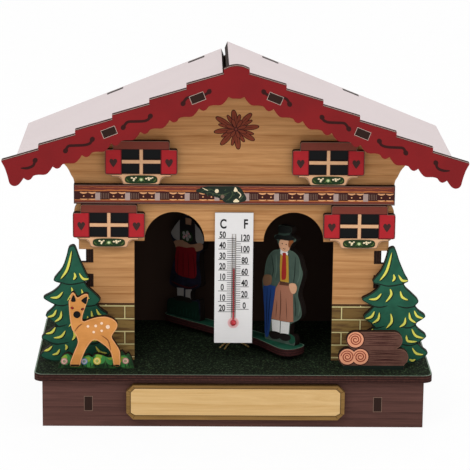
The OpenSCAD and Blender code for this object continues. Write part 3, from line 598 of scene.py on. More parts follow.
def piece(name, body, points, faces, looks, tones=None):
    """A mesh object that rides on a body."""
    mesh = bpy.data.meshes.new(name)
    mesh.from_pydata([tuple(p) for p in points], [], faces)
    for look in looks:
        mesh.materials.append(look)
    if tones:
        mesh.polygons.foreach_set("material_index", tones)
    mesh.update()
    made = bpy.data.objects.new(name, mesh)
    bpy.context.scene.collection.objects.link(made)
    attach(made, body)
    return made


def lettering(name, place, words, tone, body="house"):
    """Words in the built-in letter form, laid on a face as a thin mesh: text, place and height in mm."""
    # Capitals of the built-in form are 0.72 of its size high; these are narrower, and lie just off the face
    capital, narrow, lift = 0.72, 0.72, 0.05
    points, faces = [], []
    for text, u, v, height in words:
        curve = bpy.data.curves.new("figure", "FONT")
        curve.body = text
        curve.size = height / capital
        curve.align_x = "CENTER"
        curve.offset = height * 0.036
        holder = bpy.data.objects.new("figure", curve)
        bpy.context.scene.collection.objects.link(holder)
        bpy.context.view_layer.update()
        graph = bpy.context.evaluated_depsgraph_get()
        mesh = bpy.data.meshes.new_from_object(holder.evaluated_get(graph))
        first = len(points)
        points += [place @ Vector((p.co.x * narrow + u, p.co.y + v, lift)) for p in mesh.vertices]
        faces += [[first + i for i in f.vertices] for f in mesh.polygons]
        bpy.data.objects.remove(holder)
        bpy.data.meshes.remove(mesh)
        bpy.data.curves.remove(curve)
    return piece(name, body, points, faces, [ink(tone)])


def tint(title, use, colour):
    """A colour property whose default is an sRGB hex value."""
    first = linear(colour)[:3]
    return FloatVectorProperty(name=title, description=use, size=3, subtype="COLOR", default=first)


def number(title, use, value, unit="NONE"):
    """A number property, in metres where it is a length."""
    return FloatProperty(name=title, description=use, default=value, unit=unit, precision=6)


class HousePaints(bpy.types.PropertyGroup):
    """Colours of the boards and paints."""

    pine_light: tint("Pine, light", "Early wood of the pine faces", "#cd9a66")
    pine_dark: tint("Pine, dark", "Growth lines of the pine faces", "#8c5628")
    stain_light: tint("Brown stain, light", "Light fibres of the stained boards", "#64423b")
    stain_dark: tint("Brown stain, dark", "Dark fibres of the stained boards", "#33201c")
    room: tint("Inside", "The unlit brown of the rooms", "#3a2a22")
    roof: tint("Roof paint", "Off-white paint of the roof boards", "#d1c5c5")
    verge: tint("Verge paint", "Red paint of the verge board", "#7e181b")
    lawn_light: tint("Lawn, light", "Tips of the lawn's flock", "#25321f")
    lawn_dark: tint("Lawn, dark", "Hollows of the lawn's flock", "#0b100a")


class HousePrints(bpy.types.PropertyGroup):
    """Sizes of the printed pictures."""

    layer: number("Print layer", "Thickness of one printed layer", 0.03 * MM, "LENGTH")
    branch: number("Branch stroke", "Width of a yellow branch end on the trees", 1.05 * MM, "LENGTH")
    scroll: number("Scroll line", "Width of the verge board's scrolls", 1.15 * MM, "LENGTH")
    digit: number("Scale figure", "Height of the thermometer's figures", 2.85 * MM, "LENGTH")


class HouseStage(bpy.types.PropertyGroup):
    """Lights and view of the picture."""

    key: number("Key light", "Power of the large soft light", 3.8, "POWER")
    fill: number("Fill light", "Power of the light opposite", 1.6, "POWER")
    top: number("Top light", "Power of the light above", 1.4, "POWER")
    sky: number("Room light", "Strength of the light all round", 0.85)
    lens: number("Lens", "Focal length", 0.17237, "CAMERA")


def name_board():
    """The framed board, with nothing written on it."""
    low, high = (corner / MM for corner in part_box("nameplate"))

    def field(side, foot, head, start, rise):
        """An eight-sided field, by how far its corners lie from the board's edges."""
        u0, u1, v0, v1 = low.x + side, high.x - side, low.z + rise, high.z - rise
        lower = [(u0, v0), (low.x + start, low.z + foot), (high.x - start, low.z + foot), (u1, v0)]
        return lower + [(u1, v1), (high.x - start, high.z - head), (low.x + start, high.z - head), (u0, v1)]

    # Olive-brown frame whose sloping sides catch the light
    frame_wood = grained("#94713f", "#5f4522", seed=9.0, rough=0.45)
    edges = {"edge": "#6d4e28", "edge_light": "#8a6a3c"}
    dress("nameplate", "nameplate_wood", "olive stained frame", frame_wood, FRONT, **edges)
    panel = field(side=2.0, foot=2.1, head=1.5, start=3.8, rise=3.2)
    rim = field(side=0.6, foot=0.6, head=0.6, start=3.0, rise=2.6)
    mitres = strokes(zip(panel, rim), 0.25, 0.9, 0.9)
    # Light wood, waxed: the grain shows
    wood = grained("#e2c08a", "#c39a5e", seed=5.0, ring=5.0)
    film("nameplate_field", upright(front_of("nameplate")), [
        ("frame_dark", seam(inward(panel, -0.4), panel) + mitres),
        (material("bare light wood field", wood, bump=0.6), [panel]),
    ])


class HOUSE_OT_base(bpy.types.Operator):
    """Stained plinth, flocked lawn and the bare name board"""

    bl_idname = "house.base"
    bl_label = "Plinth and lawn"

    def execute(self, context):
        paints = context.scene.house_paints
        # Brown stain over plywood: streaky and slightly satin
        for name, along, toward in (
            ("base_front", "X", FRONT),
            ("base_back", "X", REAR),
            ("base_left_end", "Y", LEFT),
            ("base_right_end", "Y", RIGHT),
            ("rib_left", "Y", LEFT),
            ("rib_right", "Y", RIGHT),
        ):
            stain = grained(paints.stain_light, paints.stain_dark, along, seed=len(name) * 3.7)
            dress(name, "plinth_wood", "brown stained plywood, " + name, stain, toward, stain)
        # Flock catches the light in grains, and its board's edge stays laser-brown
        flock = flocked(paints.lawn_light, paints.lawn_dark, "#52694a")
        dress("deck", "lawn", "green flock on plywood", flock, UP, edge="#2c1714", edge_light="#4c2c25")
        lawn = sloping("deck", UP)
        # A pale green line along the lawn's top edges is a painted highlight
        film("lawn_edge_highlight", lawn, [("edge_highlight_green", rims("deck", lawn, 0.1, 0.45))])
        front = upright(front_of("base_front"))
        sockets = slots("base_front", front)
        ends = [("tab_dark", sockets), ("rim_brown", slot_lines(sockets))]
        film("plinth_tab_ends", front, ends)
        name_board()
        return {"FINISHED"}


class HOUSE_OT_walls(bpy.types.Operator):
    """Pine walls with printed bricks, brown back and rooms, and the gable's big flower"""

    bl_idname = "house.walls"
    bl_label = "Walls"

    def execute(self, context):
        paints = context.scene.house_paints
        # The rooms: brown stain, unpolished, that gives back no light
        room = painted(paints.room, rough=0.8)
        # Varnished pine with bricks printed at the foot
        pine = grained(paints.pine_light, paints.pine_dark, seed=2.0)
        bricks = bricked(pine, top=50.8, brick="#927c44", brick_dark="#5a4822", mortar="#d6cf94")
        dress("front_wall", "pine", "pine front with printed bricks", bricks, FRONT, room)
        pine_side = grained(paints.pine_light, paints.pine_dark, "Y", seed=11.0)
        for name, toward in (("left_wall", LEFT), ("right_wall", RIGHT)):
            dress(name, "pine", "pine side, " + name, pine_side, toward, room)
        # Brown stained back, the same brown facing the rooms
        stain = grained("#7a5646", "#4a3028", seed=17.0)
        dress("back_wall", "brown_wood", "brown stained back", stain, REAR, room)
        dress("attic_floor", "plain_ply", "brown attic board", room, UP, room)

        middle = (0.4, 130.3)

        def petals(places, start, grow, widen):
            """Petals from angles, reaches and widths, a little flattened round the flower's middle."""
            made = [petal(0, 0, math.radians(a), start, r + grow, w + widen) for a, r, w in places]
            return moved([[(u, v * 0.89) for u, v in shape] for shape in made], *middle)

        # Sixteen petals, long and short by turns, and eight small ones within
        outer = []
        for k in range(16):
            reach, width = ((9.9, 2.5), (7.6, 1.6))[k % 2]
            outer.append((22.5 * k + 8 + 3 * math.sin(k * 2.4), reach + 0.5 * math.sin(k * 1.3), width))
        inner = [(angle + 11, 4.6 + 0.4 * math.sin(k), 1.5) for k, (angle, _, _) in enumerate(outer[::2])]
        film("gable_flower", upright(front_of("front_wall")), [
            ("petal_dark", petals(outer, 1.2, 0.35, 0.25)),
            ("petal_brown", petals(outer, 1.6, -0.1, -0.45)),
            ("petal_dark", petals([(a, r, 2.3) for a, r, _ in outer], 3.0, -2.6, -2.1)),
            ("petal_dark", petals(inner, 0.6, 0.3, 0.4)),
            ("petal_brown", petals(inner, 0.9, 0.0, -0.15)),
            ("petal_dark", [disc(*middle, 1.0)]),
            ("lintel_brown", [disc(*middle, 0.6)]),
        ])
        return {"FINISHED"}


class HOUSE_OT_roof(bpy.types.Operator):
    """White roof boards and the red verge board with its scrolls"""

    bl_idname = "house.roof"
    bl_label = "Roof"

    def execute(self, context):
        paints = context.scene.house_paints
        pitch = math.radians(21.8)
        # Off-white paint, matt, with the plies bare underneath
        white = painted(paints.roof, rough=0.62, patch=30.0, spread=0.16, along="Y")
        bare = grained("#c39a70", "#94683f", "Y", "X", seed=23.0)
        for name, side in (("roof_left", -1), ("roof_right", 1)):
            toward = (side * math.sin(pitch), 0, math.cos(pitch))
            dress(name, "roof_white", "off-white roof paint, " + name, white, toward, bare)
            slope = sloping(name, toward)
            ends = [inward(loop, 0.45) for loop in slots(name, slope)]
            film(name + "_tab_ends", slope, [("tab_dark", ends)])
        # Red satin paint, darker where the plies are cut
        red = painted(paints.verge, "#71171a", rough=0.42, patch=16.0, spread=0.4)
        bare = grained("#b98c60", "#8a5f38", seed=29.0)
        edges = {"edge": "#1d0d0b", "edge_light": "#3a1a15"}
        dress("bargeboard", "verge_red", "red verge paint", red, FRONT, bare, **edges)
        face = upright(front_of("bargeboard"))
        width = context.scene.house_prints.scroll / MM
        # Scrolls of the left half, each from its lower end; the lowest is a short hook
        lines = (
            ((-85.6, 121), (-86.5, 118.7), (-89.1, 117.6), (-91.8, 117.6)),
            ((-72.6, 125.3), (-71.4, 127.3), (-68.6, 127.6), (-64.7, 127.8), (-62.2, 128.6), (-61.2, 130.3)),
            ((-48, 135.6), (-46.2, 137.9), (-43, 138.2), (-39.2, 138.4), (-37.3, 139.2), (-36.5, 140.5)),
            ((-22.6, 146.1), (-21.1, 148.4), (-17.6, 149.4), (-13.6, 149.9), (-11.6, 151.3)),
        )
        scrolls = []
        for line in lines:
            hook = len(line) == 4
            for side in (1, -1):
                run = [(side * u, v) for u, v in line]
                scrolls.append(stroke(run, width, 1.0, 0.2 if hook else 1.0))
                knobs = run[:1] if hook else [run[0], run[-1]]
                scrolls += [disc(*end, width * 1.05, 0.85, 1.0 * side) for end in knobs]
        sockets = slots("bargeboard", face)
        film("verge_scrolls", face, [
            ("umber", scrolls + rims("bargeboard", face, 0.1, 0.3, True)),
            ("tab_dark", sockets),
            # Pale lines round the slots, and along the upward edges a pale line that is a painted highlight
            ("rim_pale", slot_lines(sockets, 0.14) + rims("bargeboard", face, 0.05, 0.12, True)),
        ])
        return {"FINISHED"}


class HOUSE_OT_balcony(bpy.types.Operator):
    """Printed balcony with posts, ornaments and a sprig of blossom"""

    bl_idname = "house.balcony"
    bl_label = "Balcony"

    def execute(self, context):
        low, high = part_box("balcony")
        foot, head, wide = low.z / MM, high.z / MM, high.x / MM - 0.3
        # Wine ink on plywood, which keeps the fibres' tooth
        dress("balcony", "balcony_print", "printed wine balcony", painted(INKS["wine"]), FRONT)
        rails = [rect(-wide, head - 3.0, wide, head - 0.35), rect(-wide, foot + 0.75, wide, foot + 1.45)]
        streaks, lenses, posts, dots, hatching = [], [], [], [], []
        # Wavy grain of the upper rail
        for k in range(24):
            u, sway = -66 + 5.7 * k, 0.35 * math.sin(k * 1.9)
            wide_wave = [(u - 4.4, head - 2.7), (u, head - 2.5 - sway * 0.4), (u + 4.4, head - 2.7)]
            thin_wave = [(u - 3, head - 1.0 + sway), (u + 1, head - 1.2), (u + 4, head - 0.9)]
            streaks += [stroke(wide_wave, 0.55), stroke(thin_wave, 0.2)]
        lines = [rect(-wide, foot + 1.55, wide, foot + 1.95)]
        pale = [rect(-wide, head - 0.35, wide, head - 0.15), rect(-wide, foot + 0.4, wide, foot + 0.65)]
        # A post every 13.05 mm, and two lens ornaments between one and the next
        for post in (5.35 + 13.05 * k for k in range(-6, 6)):
            if abs(post) < wide - 1:
                posts.append(rect(post - 1.1, foot + 1.7, post + 1.1, head - 3.5))
            for start, end in ((post + 5.2, post + 8.6), (post + 8.9, post + 12.3)):
                if start > -wide and end < wide:
                    middle = (start + end) / 2
                    for v, rise, thick in ((head - 3.4, -0.35, 0.75), (foot + 2.2, -0.2, 0.5)):
                        lenses.append(stroke([(start, v), (middle, v + rise), (end, v)], thick))
                    dots.append(disc(middle, head - 5.2, 0.34, count=8))
            if abs(post + 1.6) < wide - 4:
                for u in (post + 1.6 + 0.75 * step for step in range(5)):
                    hatching.append(rect(u, foot + 2.4, u + 0.22, head - 3.7))
        # A sprig of dark leaves with white blossoms hangs over the rail left of the middle
        leaves = smooth([
            (-17, -2.6), (-13, -0.6), (-6, -0.4), (1.5, -0.5), (4, -3.2), (5.2, -6.2), (2.5, -7.6),
            (-3.6, -7.8), (-6.5, -5.8), (-12, -4.1),
        ])
        veins = [
            stroke([(-15, -3), (-11, -1.6), (-8, -3.2)], 0.25),
            stroke([(-12, -2.9), (-6, -4.2), (-2, -3)], 0.3),
            stroke([(-3.8, -7), (-1.5, -5.2), (-0.6, -2.4)], 0.3),
            stroke([(1.6, -6.9), (3.1, -5.6), (4, -4.4)], 0.35),
        ]
        for k in range(16):
            u, v = -12.5 + 1.0 * k, -3.2 - 1.9 * math.sin(k * 2.1) - 0.1 * k
            tip = (u + 1.1 * math.cos(k * 1.7), v + 0.9 * math.sin(k * 1.7))
            veins.append(stroke([(u, v), tip], 0.3, sag=0.3))
        blossoms = [
            disc(-7.8, -2.5, 0.9, count=12),
            smooth([(-0.4, -2.4), (0.3, -0.7), (1.3, -2.2), (0.5, -2.8)]),
            smooth([(-0.6, -7.3), (0.2, -6.2), (1, -6), (2.1, -7.2), (0.7, -7.5)]),
            stroke([(-14.2, -1.1), (-12.6, -1.9), (-11.6, -2.3)], 0.4),
            stroke([(1.1, -2.5), (2.7, -4.1), (1.9, -5.6)], 0.45, 0.4, 0.4),
        ]
        faint = [petal(-5.3, -5.0, math.tau * k / 6 + 0.3, 0.1, 1.0, 0.6) for k in range(6)]
        film("balcony_picture", upright(front_of("balcony")), [
            ("lintel_brown", rails),
            ("orange_line", streaks + lines),
            ("rim_brown", pale + hatching),
            ("orange_pale", lenses + dots),
            ("post_grey", posts),
            ("sprig_green", moved([leaves], 0, head)),
            ("sprig_light", moved(veins, 0, head)),
            ("rim_brown", moved(faint, 0, head)),
            ("cream", moved(blossoms, 0, head)),
        ], within="balcony")
        return {"FINISHED"}


class HOUSE_OT_windows(bpy.types.Operator):
    """Four printed windows with shutters, hearts and flower boxes"""

    bl_idname = "house.windows"
    bl_label = "Windows"

    def execute(self, context):
        shutter = [rect(8.6, 4.5, 15.7, 15.35)]
        shade = [rect(8.6, 4.5, 8.95, 15.35), rect(15.35, 4.5, 15.7, 15.35), rect(8.6, 4.5, 15.7, 4.8)]
        hearts = [heart(u, 7.5, 11.4, 3.4) for u in (-12.15, 12.15)]
        bars = [rect(-0.7, 4.5, 0.7, 15.5), rect(-8.4, 9.3, 8.4, 10.8), rect(-8.4, 4.3, 8.4, 4.55)]
        half = [(7, 0.15), (8, 0.35), (8.9, 2.3), (10, 3.2), (11.6, 3.45), (13, 3.45), (13, 4.2)]
        box = half + [(-u, v) for u, v in half[::-1]]
        bush = [(-7.1, 2.1), (-5.9, 3.7), (0, 4), (5.9, 3.7), (7.1, 2.1), (5.9, 0.6), (0, 0.35), (-5.9, 0.6)]
        bush = smooth(bush)
        leaves = [stroke([(side * 6.4, 2.6), (side * 5.2, 1.3)], 0.35, sag=0.2) for side in (-1, 1)]
        leaves += [stroke([(side * 1.6, 1.2), (side * 0.9, 3.1)], 0.3, sag=0.2) for side in (-1, 1)]
        spots = ((-4.1, 2.9, 0.6), (-3.1, 2.4, 0.7), (-2.3, 3.0, 0.5), (-3.3, 1.7, 0.5), (2.2, 2.6, 0.6))
        spots += ((3.2, 2.9, 0.65), (4.2, 2.7, 0.6), (3.4, 2.1, 0.6), (5.0, 3.0, 0.4))
        layers = [
            ("lintel_brown", [rect(-12.2, 15.7, 12.2, 19.1)]),
            ("peach", bars + [box]),
            ("shutter_red", paired(shutter)),
            ("apron_red", paired(shade)),
            ("heart_wine", hearts),
            ("black", [inward(bush[::-1], 0.35)]),
            ("leaf_green", [bush]),
            ("moss_olive", leaves),
            ("cream", [disc(u, v, r * 0.85, 0.75, count=10) for u, v, r in spots]),
            ("pale_green", [disc(0, 2.15, 0.75)]),
            ("cream", [disc(0, 2.15, 0.35, count=8)]),
        ]
        for name in ("window_upper_left", "window_upper_right", "window_lower_left", "window_lower_right"):
            low, high = (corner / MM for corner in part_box(name))
            face = upright(low.y, (low.x + high.x) / 2)
            # Dark printed ground; the sunk panes are black and shine a little
            ground = glazed(painted(INKS["wine"]), low.y + 0.3)
            dress(name, "window_print", "printed window ground, " + name, ground, FRONT)
            print_layers = [(tone, moved(shapes, 0, low.z)) for tone, shapes in layers]
            print_layers.append(("rim_brown", rims(name, face, 0.05, 0.14)))
            film(name + "_picture", face, print_layers)
        return {"FINISHED"}


def fawn_picture():
    """The fawn's coat, spots, ears and eyes."""
    # Warm brown ink, blotched like short fur
    dress("fawn", "fawn_print", "printed fawn coat", painted("#ce8c4b", "#b97839", patch=7.0), FRONT)
    face = upright(front_of("fawn"))
    ears = [
        smooth([(-70.2, 59.9), (-71.2, 57.8), (-70.8, 56.9), (-69.3, 57.1), (-69.4, 58.6)]),
        smooth([(-64.4, 59.3), (-64.2, 58.1), (-64.6, 56.1), (-65.6, 56.3), (-66.7, 57.6)]),
    ]
    nose = disc(-68.7, 50.45, 1.6)
    eyes = [disc(-70.7, 53.45, 0.7, 0.8, -0.4), disc(-66.2, 52.95, 0.7, 0.8, 0.4)]
    spots = ((-63.9, 45.8, 0.6), (-60.5, 46.0, 0.6), (-57.9, 47.2, 0.6), (-55.2, 45.6, 0.9))
    spots += ((-61.4, 43.2, 0.55), (-57.9, 43.8, 0.55))
    # Hooves wherever the legs reach the ground
    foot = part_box("fawn")[0].z / MM
    loops = cut_edges("fawn", face)
    places = [u for u in (-72 + 0.4 * k for k in range(60)) if inside((u, foot + 0.5), loops)]
    hooves = [rect(u - 0.2, foot + 0.05, u + 0.2, foot + 0.9) for u in places]
    shading = [stroke([(-66.4, 46.3), (-68.1, 45), (-69.8, 42.7)], 0.45)]
    shading += [stroke([(-58, 41), (-55, 38.5), (-54, 34)], 0.4)]
    film("fawn_picture", face, [
        ("orange_pale", rims("fawn", face, 0.12, 0.28)),
        ("black", moved(ears, 0, -0.65) + [nose] + hooves + eyes),
        ("shutter_red", [disc(-70.8, 53.5, 0.4, count=10), disc(-66.1, 53.0, 0.3, count=10)]),
        ("fawn_brown", shading),
        ("fawn_cream", [disc(u, v - 0.65, r) for u, v, r in spots]),
    ], within="fawn")


def grass_picture():
    """Tufts and small flowers of the grass strip."""
    # Mottled green ink, two tones a few millimetres across
    green = painted("#3d6a35", "#1f3a22", patch=3.0, spread=1.0, rough=0.6)
    dress("grass_strip", "grass_print", "printed grass", green, FRONT)
    left, right = (corner.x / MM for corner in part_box("grass_strip"))
    mounds = [(left + 3.6 + 5.1 * k, 29.6 + 0.9 * math.sin(k * 2.3)) for k in range(7)]
    mounds = [(u, v) for u, v in mounds if u < right - 2]
    blades = []
    for k in range(17):
        u = left + 1.6 + 1.9 * k
        blades.append(stroke([(u, 25.4), (u - 0.2 + 0.6 * math.sin(k * 2.7), 27.6)], 0.4, 0.5, 0.1))
    flowers = (
        ("blossom_pink", -74.6, 28.1, 1.5), ("blossom_blue", -65.8, 28.1, 1.45),
        ("flower_yellow", -60.1, 28.3, 1.7), ("blossom_pink", -47.6, 28.4, 1.45),
    )
    layers = [
        ("grass_light", [disc(u, v - 0.6, 2.5, 1.1) for u, v in mounds]),
        ("grass_yellow", [disc(u - 0.4, v + 0.3, 1.4, 0.9) for u, v in mounds]),
        ("needle_dark", blades),
    ]
    for tone in ("blossom_pink", "blossom_blue", "flower_yellow"):
        layers.append((tone, [disc(u, v, r) for t, u, v, r in flowers if t == tone]))
    layers.append(("cream", [round_line(u, v, r * 0.72, 0.3) for _, u, v, r in flowers]))
    layers.append(("pale_green", [disc(u, v, 0.45, count=8) for _, u, v, _ in flowers]))
    film("grass_picture", upright(front_of("grass_strip")), layers, within="grass_strip")


def log_picture():
    """Bark lines and sawn ends of the log pile."""
    # Red-brown ink, dull, in patches like bark
    patches = painted("#65443a", "#50342a", patch=5.0, rough=0.65)
    dress("log_pile", "log_print", "printed bark", patches, FRONT)
    face = upright(front_of("log_pile"))
    bark = []
    for row, (v0, start, end) in enumerate(((30.8, 58.5, 76.5), (38.7, 57.0, 74.0))):
        for k in range(7):
            v = v0 - 2.8 + 0.95 * k
            middle = ((start + end) / 2, v + 0.35 * math.sin(k * 2 + row))
            bark.append(stroke([(start + (k * 2.3) % 3, v), middle, (end - (k * 1.7) % 4, v)], 0.28))
    ends = ((53.8, 38.7), (50.4, 30.8), (56.1, 30.8))
    # Growth rings as one spiral, 2.5 turns from 0.4 to 2.9 mm
    spiral = []
    for k in range(31):
        reach = 0.4 + 2.5 * k / 30
        spiral.append((reach * math.cos(k * 0.52), reach * math.sin(k * 0.52)))
    # A near-black strip along the pile's foot, under the sawn ends, is a painted shadow
    painted_shadow = [rect(46.0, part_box("log_pile")[0].z / MM, 78.0, 26.7)]
    film("log_picture", face, [
        ("log_line", rims("log_pile", face, 0.1, 0.14)),
        ("umber", bark),
        ("needle_dark", painted_shadow),
        ("umber", [disc(u, v, 4.0, count=28) for u, v in ends]),
        ("log_salmon", [disc(u, v, 3.6, count=28) for u, v in ends]),
        ("log_ring", [stroke(turned(spiral, u, v, 0.0), 0.5, 0.7, 0.7, steps=2) for u, v in ends]),
    ], within="log_pile")


class HOUSE_OT_garden(bpy.types.Operator):
    """Trees, fawn, grass and logs"""

    bl_idname = "house.garden"
    bl_label = "Garden"

    def execute(self, context):
        width = context.scene.house_prints.branch / MM
        # Green print in two tones, like needles in light and shade
        needles = painted("#245a45", "#1b4535", patch=5.0, rough=0.6)
        # Shaded lower edges of the tiers, then the sunlit branch ends, from the middle of the trunk's foot
        tiers = (
            ((-7.2, 37), (-2.5, 35.6), (2.5, 36.2), (8.2, 37.6)), ((-12, 27.2), (-6, 25.8), (-2, 26.6)),
            ((12.4, 27), (6.5, 25.6), (2, 26.6)), ((-12.2, 18.6), (-7.4, 16.2), (-3, 17.2)),
            ((12.6, 19), (8, 16.4), (3.4, 17)), ((-13.4, 10.4), (-8.4, 8), (-2.4, 9)),
            ((14.2, 10.4), (8.8, 8.2), (3.4, 9)),
        )
        branches = (
            ((-0.9, 51), (-2.9, 42.7), (-5.9, 38.1)), ((0.1, 41), (-0.3, 37.7)),
            ((2.3, 40.8), (4.1, 38.2), (6.6, 38.2)), ((-5, 32.2), (-10.6, 29.5)),
            ((-1.2, 34.3), (-0.7, 31.6), (-3, 28.2)), ((3.3, 33.4), (6.9, 29.2)),
            ((-7.9, 24), (-11.9, 20.5)), ((-5.7, 23.4), (-8.7, 18.4)), ((-0.6, 23), (-2.5, 16.1)),
            ((6, 21.2), (3.4, 16.7)), ((7.6, 23.5), (10.7, 18.7)), ((9.8, 24.4), (14, 20.8)),
            ((8.9, 16), (14.4, 11.6)), ((6.6, 12.9), (7.4, 10.2), (11.5, 10)), ((9.4, 7.1), (14.5, 3.9)),
            ((8.2, 1.7), (11, 1.7)), ((-8.4, 16.1), (-12.8, 12.8)), ((-4, 14.3), (-9.2, 10.9)),
            ((-0.4, 14.3), (-1.1, 9.8)), ((-9.9, 7.2), (-14.7, 5.3)), ((-6.6, 5.7), (-9.9, 3.1)),
            ((-4, 7.9), (-4, 5.3)),
        )
        for name, u0 in (("tree_left", -70.6), ("tree_right", 70.6)):
            v0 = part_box(name)[0].z / MM
            dress(name, "tree_print", "printed needles, " + name, needles, FRONT)
            face = upright(front_of(name))
            runs = moved(branches, u0, v0)
            under = strokes(moved(tiers, u0, v0), 0.6, 0.2, 0.1)
            film(name + "_picture", face, [
                ("needle_dark", rims(name, face, 0.1, 0.3) + under),
                ("needle_dark", strokes(moved(runs, 0.35, -0.3), width * 1.2, 0.15, 0.1, sag=0.2)),
                ("needle_yellow", strokes(runs, width, 0.05, 0.03, sag=0.2)),
            ], within=name)
        fawn_picture()
        grass_picture()
        log_picture()
        return {"FINISHED"}


class HOUSE_OT_thermometer(bpy.types.Operator):
    """White scale with ticks and figures, glass tube and red spirit"""

    bl_idname = "house.thermometer"
    bl_label = "Thermometer"

    def execute(self, context):
        # Bright white card stock with a smooth face
        card = painted("#e0dedd", rough=0.4, tooth=0.004, patch=20.0, spread=0.2)
        edges = {"edge": "#a9a29c", "edge_light": "#c4bdb6"}
        back = painted("#b9b6b2")
        dress("thermometer_plate", "scale_white", "white scale card", card, FRONT, back, **edges)
        # Thin drawn glass: clear, nearly without a glint, and too thin to bend what is behind it
        glass = painted("#ffffff", "#f4f8f8", rough=0.1, tooth=0.0005, spread=0.1)
        clear = {"Specular IOR Level": 0.1, "Transmission Weight": 1.0, "IOR": 1.02}
        dress("thermometer_tube", "thermometer_glass", "clear glass tube", glass, bump=0.2, sockets=clear)
        # The least marks of both scales, in mm, and how far one degree reaches
        celsius, per_celsius = 47.7, 0.48
        fahrenheit, per_fahrenheit = 48.9, 0.259
        # Dyed alcohol: deep red with a soft shine
        red = ticked(painted("#b3252e", "#951a24", rough=0.3, tooth=0.001), celsius, 2 * per_celsius)
        dress("spirit_column", "spirit_red", "red dyed spirit", red, sockets={"Specular IOR Level": 0.4})
        face = upright(front_of("thermometer_plate"))
        ticks = []
        for degree in range(-20, 51, 2):
            v = celsius + per_celsius * (degree + 20)
            ticks.append(rect(-6.9 if degree % 10 == 0 else -3.0, v - 0.11, 0.7, v + 0.11))
        for degree in range(0, 121, 4):
            v = fahrenheit + per_fahrenheit * degree
            ticks.append(rect(0.9, v - 0.11, 6.8 if degree % 20 == 0 else 3.0, v + 0.11))
        low, high = (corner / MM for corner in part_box("spirit_column"))
        blush = disc((low.x + high.x) / 2, low.z + 1.2, 2.5)
        film("scale_ticks", face, [("bulb_blush", [blush]), ("scale_ink", ticks)])
        height = context.scene.house_prints.digit / MM
        words = []
        for degree in range(-20, 51, 10):
            words.append((str(abs(degree)), -5.05, celsius + per_celsius * (degree + 20) + 0.4, height))
        for degree in range(0, 121, 20):
            words.append((str(degree), 4.8, fahrenheit + per_fahrenheit * degree + 0.4, height))
        words += [("C", -4.8, 86.0, 4.2), ("F", 5.1, 86.0, 4.2)]
        lettering("scale_figures", face, words, "scale_ink")
        return {"FINISHED"}


